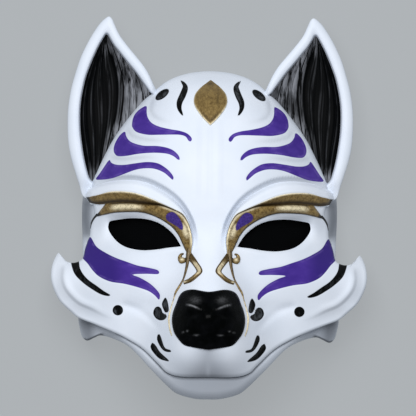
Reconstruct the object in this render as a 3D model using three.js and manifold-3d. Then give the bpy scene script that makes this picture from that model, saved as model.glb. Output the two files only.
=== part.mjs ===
// Fox mask of one casting, lying face up on its back rim, with two eye gauzes behind the openings.
// Millimetres; +X to the picture's right, +Y towards the ears, +Z out of the face; rim plane at z = 0.
import * as THREE from 'three';
import Module from 'manifold-3d';

const wasm = await Module();
wasm.setup();

// Main sizes
const WIDTH = 198.6;            // over the cheek flares
const LENGTH = 239.8;           // chin to ear tips
const DEPTH = 117.6;            // back rim to nose

// Outlines and tables are drawn for a mask of 198.6 by 239.8 by 117.6; these stretch them to its sizes.
const ACROSS = WIDTH / 198.6;
const UP = LENGTH / 239.8;
const OUT = DEPTH / 117.6;
const stretched = (rows, ...by) => rows.map((row) => row.map((value, column) => value * by[column]));

// Walls, steps and roundings
const RIM_RISE_START = -78 * UP;   // y at which the rim starts to lift towards the chin
const RIM_RISE_SLOPE = 1.05;    // lift of the rim per millimetre beyond that
const WALL = 3.2;               // wall seen in the side walls
const FACE_WALL = 4.4;          // face skin measured along z
const JAW_WALL = 3.2;           // more of it behind the chin
const STEP = 3.0;               // step from the face skin down to the jaw band and temples
const FIN = 5.2;                // thickness of a cheek flare
const FIN_TAPER = 1.5;          // a flare's edge is drawn in by this on its back
const LIP = 9.0;                // depth of the skin's edge where the wall backs it
const WALL_X = 80;              // half width over the side walls, as drawn
const EDGE_ROUND = 2.6;         // rounding of the skin's edge
const BODY_ROUND = 5.0;         // rounding of the jaw band and temples
const POLE = [0, -20 * UP];     // middle of the face, from which the rings spread
const GAUZE_GAP = 0.5;          // between the inside of the face and a gauze
const GAUZE = 0.9;              // gauze thickness
const GAUZE_LAP = 4.0;          // gauze beyond the opening all round
const LID_BEVEL = 3.0;          // width of the bevel round an eye opening
const LID_DEPTH = 3.4;          // how deep that bevel runs
const LIP_ENDS = [72 * ACROSS, 82 * ACROSS];     // half widths between which the lip thins to the flare
const TAPER_STARTS = [81 * ACROSS, 88 * ACROSS]; // half widths between which a flare's back is drawn in
const JAW_STARTS = [-70 * UP, -92 * UP];         // heights between which the jaw's wall thickens

// Face profile by height on the face: y, z on the middle line, half width, z at that width, power
const DOME = stretched([
  [-125, 66, 80, 40, 1.7],
  [-105, 76, 80, 42, 1.7],
  [-85, 80, 80, 44, 1.7],
  [-70, 80, 84, 43, 1.65],
  [-60, 79, 95, 38, 1.7],
  [-45, 79, 98, 35, 1.9],
  [-30, 79, 85, 33, 2.1],
  [-15, 79, 77, 31, 2.2],
  [0, 80, 76, 31, 2.3],
  [15, 79, 74, 31, 2.4],
  [30, 76, 68, 31, 2.5],
  [45, 70, 60, 31, 2.5],
  [60, 62, 49, 30, 2.4],
  [70, 54, 41, 28, 2.3],
  [78, 43, 35, 25, 2.2],
  [84, 30, 31, 18, 2.1],
  [90, 12, 29, 6, 2],
], UP, OUT, ACROSS, OUT, 1);
// Muzzle by height on the face: y, rise above the dome, half width
const MUZZLE = stretched([
  [-125, 10, 36],
  [-112, 16, 36],
  [-105, 20, 35],
  [-95, 26, 33],
  [-85, 30, 31],
  [-70, 32, 28],
  [-60, 29, 25],
  [-50, 23, 21],
  [-38, 12, 16],
  [-24, 4, 12],
  [-10, 0.5, 11],
  [5, 0, 11],
], UP, OUT, ACROSS);
const MUZZLE_POWER = 2.6;

// Half outline of the face skin from crown to chin: x, y and, on the flare, the point it grows from
const SKIN = stretched([
  [0, 86.1], [11, 85.2], [20.4, 82.8], [28.1, 79.1], [34.6, 73.9], [42.9, 66.4], [52.4, 55], [60.1, 44],
  [65.9, 33.2], [71, 22], [74.2, 13], [73.5, 4], [72.2, -4], [74.6, -11], [75.1, -18], [77.7, -25.4],
  [79.2, -31.8, 60, -31], [82.4, -34.5, 64, -36], [87.4, -35.1, 69, -42],
  [92.4, -32.7, 73.5, -48.5], [95, -29.2, 75.5, -51.5], [98.4, -36, 76.3, -55.5],
  [99.3, -44, 75.5, -58], [97.9, -50.8, 74, -60], [93.7, -59, 71, -61.7], [86.8, -65.7, 67, -63],
  [81.7, -69.7, 63, -64], [71.6, -73.6, 57, -65.5], [58.1, -79.1, 48, -69], [51.3, -82.4], [41, -88.6],
  [30.7, -98.4], [25.6, -103.2], [17, -105.6], [0, -105.8],
], ACROSS, UP, ACROSS, UP);
// Half outline of the walls behind it, crown to chin, with the strap tabs at the lower corners
const WALLS = stretched([
  [0, 85.4], [10, 84.6], [20, 82.1], [27.7, 78.5], [34.2, 73.3], [42.4, 65.8], [51.8, 54.5], [59.5, 43.6],
  [65.4, 33], [70.9, 23], [78.5, 14], [WALL_X, 4], [WALL_X + 0.2, -8], [WALL_X - 0.5, -26], [WALL_X - 0.7, -42],
  [WALL_X + 0.6, -58], [81.9, -69.4], [81, -76], [79.4, -81.6], [76.1, -84.1], [71.5, -82.1], [67.1, -80.7],
  [58.3, -83.1], [48.5, -88.4], [35.2, -102.1], [23.8, -113.3], [18.1, -117], [8, -119.6], [0, -119.9],
], ACROSS, UP);
const EYE = stretched([
  [63.4, -11.2], [62.5, -9], [59.1, -8.1], [50.4, -6.9], [43, -6.9], [36.7, -7.9], [31.1, -10], [26.1, -13.3],
  [21.7, -17.6], [18, -23.5], [18.6, -24.3], [25.4, -25.1], [32.8, -26.3], [40.3, -26.9], [46.5, -26.4],
  [52.7, -24.8], [57.7, -21.7], [61.5, -17.4], [63.4, -13.7],
], ACROSS, UP);
const EYE_MIDDLE = [42 * ACROSS, -17 * UP];
// Ear: outer edge and the matching edge of the hollow, from the tip round by the outer side
const EAR = stretched([
  [64.4, 119.9, 65.6, 108.6], [67.6, 117.9, 66.6, 108.2], [71, 114.1, 68.4, 105.2], [75.1, 107.8, 70.9, 100.6],
  [78.7, 101.1, 72.9, 96.2], [82.2, 93.3, 75.4, 90.3], [85.1, 84.2, 78.2, 82.6], [87.4, 75.8, 80, 75.3],
  [88.9, 67.4, 81.4, 67.2], [89.7, 58.9, 82, 58.9], [89.7, 48.2, 81.7, 48.3], [89, 38.9, 80.6, 39],
  [87.4, 30.8, 79.2, 30.7], [84.8, 22.1, 77.2, 22.4], [82.3, 14.7, 75, 17], [79, 6, 70, 14], [70, 6, 67, 19],
  [62, 20, 63, 29], [54, 35, 57, 41], [45, 50, 48.5, 54], [35, 62, 39, 65.5], [31.5, 69, 36.5, 70.5],
  [34.5, 74.2, 38.6, 73], [38.8, 83.4, 43, 78.9], [42.5, 89.4, 47.3, 84.8], [47.4, 95.4, 52.5, 91],
  [52.8, 101.9, 57.5, 97.2], [57.7, 108.5, 61, 101.6], [60.8, 115.1, 63.6, 105.8], [62.3, 118.3, 64.6, 107.8],
], ACROSS, UP, ACROSS, UP);
const EAR_MIDDLE = [63.5 * ACROSS, 60 * UP];
const EAR_RIM_Z = 36 * OUT;     // crest of the ear's rim at its foot
const EAR_LEAN = 0.05;          // fall of the crest per millimetre up the ear
const EAR_TURN = 0.14;          // fall of the crest per millimetre outwards
const EAR_DEEP = 13;            // depth of the hollow below the crest
const EAR_THICK = 4.5;          // shell behind the hollow
const EAR_ROLL = 7.5;           // height of the rolled rim

// Brow ridge, one line each from its outer end to the inner corner of the eye
const PAD_TOP = stretched([
  [73, 15.6], [66, 18.4], [56, 18.6], [46.9, 17.6], [39, 15.6], [32, 12.4], [25.5, 8.4], [19.8, 3.4],
  [15.4, -2.6], [12.2, -9], [10.6, -15], [10, -21], [10.6, -26],
], ACROSS, UP);
const GOLD_TOP = stretched([
  [77.6, 6], [70.5, 7.3], [62.3, 9.5], [52.5, 9.6], [44, 8.1], [36.9, 5.5], [29.4, 2.2], [22.4, -0.9],
  [16.8, -3.9], [13.3, -9.2], [11.5, -14.8], [10.6, -21], [11.4, -29],
], ACROSS, UP);
const GOLD_FOLD = stretched([
  [74.4, 2.6], [69.5, 1.9], [61.5, 2.4], [52.5, 2.9], [44, 2.4], [37.4, 1.5], [30.6, -0.9], [24.4, -4.4],
  [19.2, -8.9], [15.8, -13.8], [13.4, -18.6], [12.2, -23.6], [12, -29.6],
], ACROSS, UP);
const GOLD_FOOT = stretched([
  [71.6, -5.6], [65.8, -4.8], [59.4, -3.5], [51.8, -3], [44.4, -3], [38.4, -4.1], [32.3, -6.5], [27, -9.5],
  [22.8, -12.8], [19.4, -17.2], [17.4, -21.2], [15.6, -25.2], [13, -30.2],
], ACROSS, UP);
const PAD_EDGE = -2.3;          // upper edge of the white brow, sunk into the groove above it
const PAD_RISE = 4.6;           // crest of the white brow above the face
const FOLD_RISE = 1.2;          // crease between the two gold lobes
const LOBE_RISE = 3.4;          // crest of the lower lobe
const FOOT_RISE = 0.7;          // lower edge of the lower lobe
const BROW_ROOT = 2.4;          // how far the ridge is let into the face

const NOSE = stretched([
  [0, -52.2], [9.6, -50.9], [15.4, -52], [18.4, -55], [20.4, -60], [22.3, -65.2], [23, -71], [21.6, -77.7],
  [18.1, -83], [14.8, -86], [9.3, -87.2], [4, -88], [0, -88.5],
], ACROSS, UP);
const NOSE_MIDDLE = [0, -69 * UP];
const NOSE_RISE = 5.6;          // bulge of the nose above the muzzle
const NOSE_STEP = 2.2;          // height of its edge
// Middle x, y, half height, half width and depth of a nostril
const [NOSTRIL] = stretched([[10.5, -66, 3.2, 5.5, 3.8]], ACROSS, UP, UP, ACROSS, 1);
const LEAF = stretched([
  [0, 80.4], [4.4, 77.6], [8.1, 73.2], [10.3, 67.6], [9, 62.9], [5.6, 58.2], [0, 52.2],
], ACROSS, UP);
const LEAF_MIDDLE = [0, 66.5 * UP];
const LEAF_RISE = 1.8;          // leaf above the forehead
// Recess in each temple: x, upper y, lower y, half width, depth
const [SLOT] = stretched([[76.7, -1, -15.5, 1.3, 2.4]], ACROSS, UP, UP, 1, 1);
const TEMPLE_WALL = 3;          // extra wall behind that recess
const TEMPLE_SPREAD = [12, 14]; // half width and half height over which it fades

// Broad carving of one half: rise, then middle x, y, half width and half height of each bump
const CARVING = stretched([
  [2.4, 17, -93, 10, 9],
  [-1.8, 0, -99, 3.2, 9],
  [0.9, 7, 32, 4, 26],
  [-1.5, 27, 13, 9, 6],
  [2.2, 50, -35, 16, 7],
  [-1.6, 44, -63, 15, 5],
  [2.6, 92, -52, 7, 12],
], 1, ACROSS, UP, ACROSS, UP);

// Interpolates a table by its first column, easing between rows with the rows' own slopes.
function along(table, at, column) {
  const last = table.length - 1;
  const y = Math.min(Math.max(at, table[0][0]), table[last][0]);
  let i = 0;
  while (i < last - 1 && table[i + 1][0] < y) i += 1;
  const slope = (k) => {
    const a = Math.max(k - 1, 0);
    const b = Math.min(k + 1, last);
    return (table[b][column] - table[a][column]) / (table[b][0] - table[a][0]);
  };
  const step = table[i + 1][0] - table[i][0];
  const t = (y - table[i][0]) / step;
  const bend = t * t * (3 - 2 * t);
  const start = t * (1 - t) * (1 - t) * step * slope(i);
  const stop = t * t * (t - 1) * step * slope(i + 1);
  return table[i][column] * (1 - bend) + table[i + 1][column] * bend + start + stop;
}

const ease = (a, b, v) => THREE.MathUtils.smoothstep((v - a) / (b - a), 0, 1);

// Dome and muzzle without any carving; slim narrows the muzzle for the inside.
function face(x, y, slim = 0) {
  const out = Math.abs(x) / along(DOME, y, 2);
  const middle = along(DOME, y, 1);
  const dome = middle - (middle - along(DOME, y, 3)) * out ** along(DOME, y, 4);
  const width = along(MUZZLE, y, 2) - slim;
  return dome + along(MUZZLE, y, 1) * Math.exp(-((Math.abs(x) / width) ** MUZZLE_POWER));
}

// Soft bump or hollow of a given half width and half height.
const bump = (x, y, cx, cy, wide, high) => Math.exp(-(((x - cx) / wide) ** 2) - ((y - cy) / high) ** 2);

// The face with its carving: lips, furrow below the nose, forehead ridges, brow groove, cheek, flare roll.
const relief = (x, y) => CARVING.reduce(
  (z, [rise, cx, cy, wide, high]) => z + rise * bump(Math.abs(x), y, cx, cy, wide, high),
  face(x, y),
);

const inside = (x, y) => face(x * 1.035, y + (y - POLE[1]) * 0.03, 3)
  - FACE_WALL - JAW_WALL * ease(...JAW_STARTS, y);
const backing = (x, y) => face(x, y) - STEP;
const rim = (x, y) => Math.max(0, RIM_RISE_START - y) * RIM_RISE_SLOPE;

// Smooth closed or open run through the given points, cut into even steps between each two.
function run(points, steps, closed) {
  const size = points[0].length;
  const count = points.length;
  const at = (i) => points[closed ? (i + count) % count : Math.min(Math.max(i, 0), count - 1)];
  const result = [];
  const spans = closed ? count : count - 1;
  for (let i = 0; i < spans; i += 1) {
    for (let k = 0; k < steps; k += 1) {
      const t = k / steps;
      const point = [];
      for (let c = 0; c < size; c += 1) {
        const [p, q, r, s] = [at(i - 1)[c], at(i)[c], at(i + 1)[c], at(i + 2)[c]];
        const square = (2 * p - 5 * q + 4 * r - s) * t * t;
        const cube = (3 * q - p - 3 * r + s) * t ** 3;
        point.push(0.5 * (2 * q + (r - p) * t + square + cube));
      }
      result.push(point);
    }
  }
  if (!closed) result.push([...points[count - 1]]);
  return result;
}

// Gives every outline point an inner partner: the one written beside it, or one drawn towards the pole.
const partnered = (outline, pole, part) => outline.map(([x, y, u, v]) => (u === undefined
  ? [x, y, pole[0] + (x - pole[0]) * part, pole[1] + (y - pole[1]) * part]
  : [x, y, u, v]));

// Closes a half outline that starts and ends on the middle line into a loop.
const mirrored = (half) => [...half, ...half.slice(1, -1).reverse().map(([x, y, u, v]) => [-x, y, -u, v])];

// Moves a loop outwards (or inwards if negative) by the same distance all round.
function grown(loop, by) {
  const count = loop.length;
  const turn = THREE.ShapeUtils.area(loop.map(([x, y]) => new THREE.Vector2(x, y))) > 0 ? 1 : -1;
  return loop.map(([x, y], i) => {
    const [ax, ay] = loop[(i + count - 1) % count];
    const [bx, by2] = loop[(i + 1) % count];
    const length = Math.hypot(bx - ax, by2 - ay);
    return [x + (by * turn * (by2 - ay)) / length, y - (by * turn * (bx - ax)) / length];
  });
}

// Turns rings of points, with a point at each end, into a closed solid facing outwards.
function solid(rings, first, last) {
  const count = rings[0].length;
  const points = [first, ...rings.flat(), last];
  const end = points.length - 1;
  const faces = [];
  const at = (ring, i) => 1 + ring * count + (i % count);
  for (let i = 0; i < count; i += 1) {
    faces.push([0, at(0, i), at(0, i + 1)]);
    for (let k = 0; k < rings.length - 1; k += 1) {
      faces.push([at(k, i), at(k + 1, i), at(k + 1, i + 1)], [at(k, i), at(k + 1, i + 1), at(k, i + 1)]);
    }
    faces.push([end, at(rings.length - 1, i + 1), at(rings.length - 1, i)]);
  }
  let volume = 0;
  for (const [a, b, c] of faces) {
    const [p, q, r] = [points[a], points[b], points[c]].map((v) => new THREE.Vector3(...v));
    volume += p.dot(q.cross(r));
  }
  if (volume < 0) faces.forEach((f) => f.reverse());
  return new wasm.Manifold(new wasm.Mesh({
    numProp: 3,
    vertProperties: new Float32Array(points.flat()),
    triVerts: new Uint32Array(faces.flat()),
  }));
}

// One ring of a solid: part 0..1 runs pole to partner, 1..2 partner to edge, less an inset in mm.
function ring(loop, pole, part, inset, height) {
  return loop.map(([x, y, u, v]) => {
    const length = Math.hypot(x - u, y - v);
    const less = typeof inset === 'function' ? inset(x) : inset;
    const far = Math.min(part - 1, 1 - less / length);
    const px = part <= 1 ? pole[0] + (u - pole[0]) * part : u + (x - u) * far;
    const py = part <= 1 ? pole[1] + (v - pole[1]) * part : v + (y - v) * far;
    return [px, py, height(px, py)];
  });
}

// Rings for a rounded top edge: quarter circle of the given radius.
const rounded = (loop, pole, radius, steps, height) => Array.from({ length: steps + 1 }, (_, k) => {
  const angle = (k / steps) * Math.PI * 0.5;
  const inset = radius * (1 - Math.sin(angle));
  const drop = radius * (1 - Math.cos(angle));
  return ring(loop, pole, 2, inset, (x, y) => height(x, y) - drop);
});

function skinSolid() {
  const loop = run(mirrored(partnered(SKIN, POLE, 0.8)), 2, true);
  const under = (x, y) => face(x, y) - LIP + (LIP - FIN) * ease(...LIP_ENDS, Math.abs(x));
  const parts = [0.1, 0.22, 0.35, 0.48, 0.61, 0.74, 0.87, 1];
  const rings = parts.map((part) => ring(loop, POLE, part, 0, relief));
  rings.push(ring(loop, POLE, 1.45, 0, relief));
  rings.push(...rounded(loop, POLE, EDGE_ROUND, 2, relief));
  rings.push(ring(loop, POLE, 2, (x) => 0.3 + FIN_TAPER * ease(...TAPER_STARTS, Math.abs(x)), under));
  rings.push(ring(loop, POLE, 1, 0, (x, y) => face(x, y) - LIP));
  return solid(rings, [...POLE, relief(...POLE)], [...POLE, 25 * OUT]);
}

function bodySolid() {
  const loop = run(mirrored(partnered(WALLS, POLE, 0.85)), 1, true);
  const rings = [ring(loop, POLE, 1, 0, (x, y) => backing(x, y) - 1)];
  rings.push(ring(loop, POLE, 2, 9, backing));
  rings.push(...rounded(loop, POLE, BODY_ROUND, 3, backing));
  rings.push(ring(loop, POLE, 2, 0, rim));
  rings.push(ring(loop, POLE, 1, 0, rim));
  return solid(rings, [...POLE, 70 * OUT], [...POLE, 0]);
}

// The hollow behind the face, open to the back; lower sets its top that much further in.
function cavitySolid(lower = 0) {
  const temple = [WALL_X * ACROSS, (SLOT[1] + SLOT[2]) / 2, ...TEMPLE_SPREAD];
  const inner = grown(mirrored(WALLS), -WALL).map(([x, y]) => (
    [x - Math.sign(x) * TEMPLE_WALL * bump(Math.abs(x), y, ...temple), y]));
  const loop = partnered(inner, POLE, 0.85);
  const top = (x, y) => inside(x, y) - lower;
  const rings = [0.25, 0.5, 0.75, 1].map((part) => ring(loop, POLE, part, 0, top));
  rings.push(...rounded(loop, POLE, 4, 1, top));
  rings.push(ring(loop, POLE, 2, 0, () => -10));
  return solid(rings, [...POLE, top(...POLE)], [...POLE, -10]);
}

function earSolid(side) {
  const loop = run(EAR, 1, true).map(([x, y, u, v]) => [x * side, y, u * side, v]);
  const pole = [EAR_MIDDLE[0] * side, EAR_MIDDLE[1]];
  const crest = (x, y) => EAR_RIM_Z - EAR_LEAN * (y - 20) - EAR_TURN * (Math.abs(x) - 60);
  const rows = [[0.4, -EAR_DEEP + 1], [0.75, -EAR_DEEP + 3.5], [1, -4], [1.18, -0.6], [1.5, 0.8], [1.82, -0.8]];
  const rings = rows.map(([part, rise]) => ring(loop, pole, part, 0, (x, y) => crest(x, y) + rise));
  rings.push(ring(loop, pole, 2, 0, (x, y) => crest(x, y) - 3.2));
  rings.push(ring(loop, pole, 1.8, 0, (x, y) => crest(x, y) - EAR_ROLL));
  rings.push(ring(loop, pole, 1, 0, (x, y) => crest(x, y) - EAR_ROLL - 4));
  rings.push(ring(loop, pole, 0.5, 0, (x, y) => crest(x, y) - EAR_DEEP - EAR_THICK + 0.5));
  return solid(rings, [...pole, crest(...pole) - EAR_DEEP], [...pole, crest(...pole) - EAR_DEEP - EAR_THICK]);
}

// A ridge laid over the face between lines that run side by side; each line has its own rise.
function ridgeSolid(lines, side) {
  const count = lines[0].points.length;
  const rings = [];
  for (let i = 0; i < count; i += 1) {
    const taper = Math.min(1, (i + 0.4) / 2, (count - 0.6 - i) / 3);
    const over = lines.map(({ points, rise }) => {
      const [x, y] = points[i];
      return [x * side, y, face(x, y) + rise * taper];
    });
    const under = [lines[lines.length - 1], lines[0]].map(({ points }) => {
      const [x, y] = points[i];
      return [x * side, y, face(x, y) - BROW_ROOT];
    });
    rings.push([...over, ...under]);
  }
  const middle = (r) => [0, 1, 2].map((c) => r.reduce((sum, p) => sum + p[c], 0) / r.length);
  return solid(rings, middle(rings[0]), middle(rings[count - 1]));
}

const between = (a, b, part) => a.map(([x, y], i) => [x + (b[i][0] - x) * part, y + (b[i][1] - y) * part]);

const browSolid = (side) => ridgeSolid([
  { points: PAD_TOP, rise: PAD_EDGE },
  { points: between(PAD_TOP, GOLD_TOP, 0.5), rise: PAD_RISE * 0.75 },
  { points: GOLD_TOP, rise: PAD_RISE },
  { points: GOLD_FOLD, rise: FOLD_RISE },
  { points: between(GOLD_FOLD, GOLD_FOOT, 0.5), rise: LOBE_RISE },
  { points: GOLD_FOOT, rise: FOOT_RISE },
], side);

function noseSolid() {
  const pole = NOSE_MIDDLE;
  const loop = run(mirrored(partnered(NOSE, pole, 0.7)), 1, true);
  const [nx, ny, high, wide, deep] = NOSTRIL;
  const top = (x, y) => face(x, y) + NOSE_STEP - deep * bump(Math.abs(x), y, nx, ny, wide, high);
  const swell = (part) => (NOSE_RISE - NOSE_STEP) * (1 - part * part);
  const parts = [0.3, 0.6, 0.85, 1];
  const rings = parts.map((part) => ring(loop, pole, part, 0, (x, y) => top(x, y) + swell(part / 2)));
  rings.push(ring(loop, pole, 1.5, 0, (x, y) => top(x, y) + swell(0.75)));
  rings.push(ring(loop, pole, 2, 1.6, top));
  rings.push(ring(loop, pole, 2, 0, (x, y) => face(x, y) + NOSE_STEP * 0.2));
  rings.push(ring(loop, pole, 2, 0, (x, y) => face(x, y) - 3));
  return solid(rings, [...pole, top(...pole) + swell(0)], [...pole, 90 * OUT]);
}

function leafSolid() {
  const pole = LEAF_MIDDLE;
  const loop = run(mirrored(partnered(LEAF, pole, 0.7)), 1, true);
  const top = (x, y) => relief(x, y) + LEAF_RISE;
  const rings = [ring(loop, pole, 1, 0, top), ring(loop, pole, 2, 1.6, top)];
  rings.push(ring(loop, pole, 2, 0, (x, y) => relief(x, y)));
  rings.push(ring(loop, pole, 2, 0, (x, y) => face(x, y) - 2.5));
  return solid(rings, [...pole, top(...pole)], [...pole, face(...pole) - 3]);
}

// Opening through the face with a bevel round it.
function eyeCut(side) {
  const pole = [EYE_MIDDLE[0] * side, EYE_MIDDLE[1]];
  const loop = (by) => partnered(grown(EYE, by).map(([x, y]) => [x * side, y]), pole, 0.5);
  const rings = [ring(loop(LID_BEVEL), pole, 2, 0, (x, y) => face(x, y) + 12)];
  rings.push(ring(loop(LID_BEVEL), pole, 2, 0, (x, y) => face(x, y) + 0.6));
  rings.push(ring(loop(0), pole, 2, 0, (x, y) => face(x, y) - LID_DEPTH));
  rings.push(ring(loop(0), pole, 2, 0, () => 10));
  return solid(rings, [...pole, face(...pole) + 15], [...pole, 10]);
}

// Narrow recess with round ends in the temple between the skin's edge and the side wall.
function slotCut(side) {
  const [x, upper, lower, half, deep] = SLOT;
  const middle = [x * side, (upper + lower) / 2];
  const loop = Array.from({ length: 12 }, (_, i) => {
    const angle = ((i + 0.5) / 12) * Math.PI * 2;
    const centre = Math.sin(angle) > 0 ? upper : lower;
    return [x * side + half * Math.cos(angle), centre + half * Math.sin(angle), ...middle];
  });
  const floor = backing(x, middle[1]) - deep;
  const over = floor + 25;
  const rings = [ring(loop, middle, 2, 0, () => over), ring(loop, middle, 2, 0, () => floor)];
  return solid(rings, [...middle, over], [...middle, floor]);
}

// A plate that follows the inside of the face behind one opening.
function gauzeSolid(side) {
  const pole = [EYE_MIDDLE[0] * side, EYE_MIDDLE[1]];
  const loop = partnered(grown(EYE, GAUZE_LAP).map(([x, y]) => [x * side, y]), pole, 0.5);
  const top = face(...pole) + 15;
  const rings = [ring(loop, pole, 2, 0, () => top), ring(loop, pole, 2, 0, () => 5)];
  const column = solid(rings, [...pole, top], [...pole, 5]);
  return column.intersect(cavitySolid(GAUZE_GAP)).subtract(cavitySolid(GAUZE_GAP + GAUZE));
}

function toMesh(body, name, colour, roughness) {
  const { vertProperties, triVerts } = body.getMesh();
  const geometry = new THREE.BufferGeometry();
  geometry.setAttribute('position', new THREE.BufferAttribute(new Float32Array(vertProperties), 3));
  geometry.setIndex([...triVerts]);
  geometry.computeVertexNormals();
  const mesh = new THREE.Mesh(geometry, new THREE.MeshStandardMaterial({ color: colour, roughness }));
  mesh.name = name;
  return mesh;
}

let shell = skinSolid().add(bodySolid());
for (const side of [1, -1]) shell = shell.add(earSolid(side));
shell = shell.add(noseSolid()).add(leafSolid()).subtract(cavitySolid());
for (const side of [1, -1]) shell = shell.subtract(eyeCut(side)).subtract(slotCut(side));
for (const side of [1, -1]) shell = shell.add(browSolid(side));

const mask = new THREE.Group();
mask.name = 'kitsune_mask';
mask.add(toMesh(shell, 'mask_shell', '#eef1f5', 0.35));
mask.add(toMesh(gauzeSolid(1), 'eye_gauze_right', '#0a0b0c', 0.9));
mask.add(toMesh(gauzeSolid(-1), 'eye_gauze_left', '#0a0b0c', 0.9));

export default mask;
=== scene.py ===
from functools import partial

import bpy
import numpy as np
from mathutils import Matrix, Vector


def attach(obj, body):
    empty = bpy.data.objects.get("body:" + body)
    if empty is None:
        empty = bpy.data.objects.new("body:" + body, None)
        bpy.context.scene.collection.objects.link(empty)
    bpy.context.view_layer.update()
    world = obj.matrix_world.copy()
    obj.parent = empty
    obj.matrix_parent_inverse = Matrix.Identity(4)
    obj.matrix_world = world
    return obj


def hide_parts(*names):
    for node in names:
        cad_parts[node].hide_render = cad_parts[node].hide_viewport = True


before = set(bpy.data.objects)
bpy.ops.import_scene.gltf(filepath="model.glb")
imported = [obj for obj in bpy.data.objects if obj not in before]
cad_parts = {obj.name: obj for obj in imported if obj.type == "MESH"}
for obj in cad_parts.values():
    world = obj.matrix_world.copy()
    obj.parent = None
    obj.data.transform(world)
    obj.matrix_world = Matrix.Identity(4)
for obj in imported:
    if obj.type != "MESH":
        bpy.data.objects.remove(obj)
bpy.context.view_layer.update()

MM = 0.001
FAR = 4.0  # millimetres: the distance stored where a mark is out of reach
BEYOND = 9.0  # millimetres: how far from a soft line its distance is still worked out
INNER = 0.6  # share of the way from the nose's or leaf's middle to its edge where the inner rings end
WALL_INNER = 0.85  # the same share for the walls and the hollow
MARK_EDGE = 0.12, -0.12  # millimetres outside and inside a painted mark's outline over which it blends
LINING_EDGE = 0.15, -0.15  # the same for the black of the ears

# Sizes in millimetres; +X right, +Y towards the ears, +Z out of the face.
POLE = (0.0, -20.0)
WALL = 3.2
FACE_WALL = 4.4
JAW_WALL = 3.2
STEP = 3.0
FIN = 5.2
FIN_TAPER = 1.5
LIP = 9.0
CORNER_FALL = 0.5
WALL_X = 80.0
EDGE_ROUND = 2.0
BODY_ROUND = 5.0
TEMPLE_WALL = 3.0
RIM_RISE_START = -78.0
RIM_RISE_SLOPE = 1.05

# Face profile: height on the face, z on the middle line, half width, z at that width, power.
DOME = np.array([
    (-125, 66, 80, 40, 1.7), (-105, 76, 80, 42, 1.7), (-85, 80, 80, 44, 1.7), (-70, 80, 84, 43, 1.65),
    (-60, 79, 95, 38, 1.7), (-45, 79, 98, 35, 1.9), (-30, 79, 85, 33, 2.1), (-15, 79, 77, 31, 2.2),
    (0, 80, 76, 31, 2.3), (15, 79, 74, 31, 2.4), (30, 76, 68, 31, 2.5), (45, 70, 60, 31, 2.5),
    (60, 62, 49, 30, 2.4), (70, 54, 41, 28, 2.3), (78, 43, 35, 25, 2.2), (84, 30, 31, 18, 2.1),
    (90, 12, 29, 6, 2)])
# Muzzle: height on the face, rise above the dome, half width.
MUZZLE = np.array([
    (-125, 10, 36), (-112, 16, 36), (-105, 20, 35), (-95, 26, 33), (-85, 30, 31), (-70, 32, 28),
    (-60, 29, 25), (-50, 23, 21), (-38, 12, 16), (-24, 4, 12), (-10, 0.5, 11), (5, 0, 11)])
MUZZLE_POWER = 2.6

# Half outlines in millimetres, crown to chin. A four-number point also says where its flare grows from.
SKIN = [
    (0, 86.1), (11, 85.2), (20.4, 82.8), (28.1, 79.1), (34.6, 73.9), (42.9, 66.4), (52.4, 55), (60.1, 44),
    (65.9, 33.2), (71, 22), (74.2, 13), (73.5, 4), (72.2, -4), (74.6, -11), (75.1, -18), (77.7, -25.4),
    (79.2, -31.8, 60, -31), (82.4, -34.5, 64, -36), (87.4, -35.1, 69, -42), (92.4, -32.7, 73.5, -48.5),
    (95, -29.2, 75.5, -51.5), (98.4, -36, 76.3, -55.5), (99.3, -44, 75.5, -58), (97.9, -50.8, 74, -60),
    (93.7, -59, 71, -61.7), (86.8, -65.7, 67, -63), (81.7, -69.7, 63, -64), (71.6, -73.6, 57, -65.5),
    (58.1, -79.1, 48, -69), (51.3, -82.4), (41, -88.6), (30.7, -98.4), (25.6, -103.2), (17, -105.6),
    (0, -105.8)]
WALLS = [
    (0, 85.4), (10, 84.6), (20, 82.1), (27.7, 78.5), (34.2, 73.3), (42.4, 65.8), (51.8, 54.5), (59.5, 43.6),
    (65.4, 33), (70.9, 23), (78.5, 14), (WALL_X, 4), (WALL_X + 0.2, -8), (WALL_X - 0.5, -26),
    (WALL_X - 0.7, -42), (WALL_X + 0.6, -58), (81.9, -69.4), (81, -76), (79.4, -81.6), (76.1, -84.1),
    (71.5, -82.1), (67.1, -80.7), (58.3, -83.1), (48.5, -88.4), (35.2, -102.1), (23.8, -113.3),
    (18.1, -117), (8, -119.6), (0, -119.9)]
EYE = [
    (63.4, -11.2), (62.5, -9), (59.1, -8.1), (50.4, -6.9), (43, -6.9), (36.7, -7.9), (31.1, -10),
    (26.1, -13.3), (21.7, -17.6), (18, -23.5), (18.6, -24.3), (25.4, -25.1), (32.8, -26.3), (40.3, -26.9),
    (46.5, -26.4), (52.7, -24.8), (57.7, -21.7), (61.5, -17.4), (63.4, -13.7)]
EYE_MIDDLE = (42.0, -17.0)
LID = 3.4
LID_OUTER = 2.0

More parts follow.
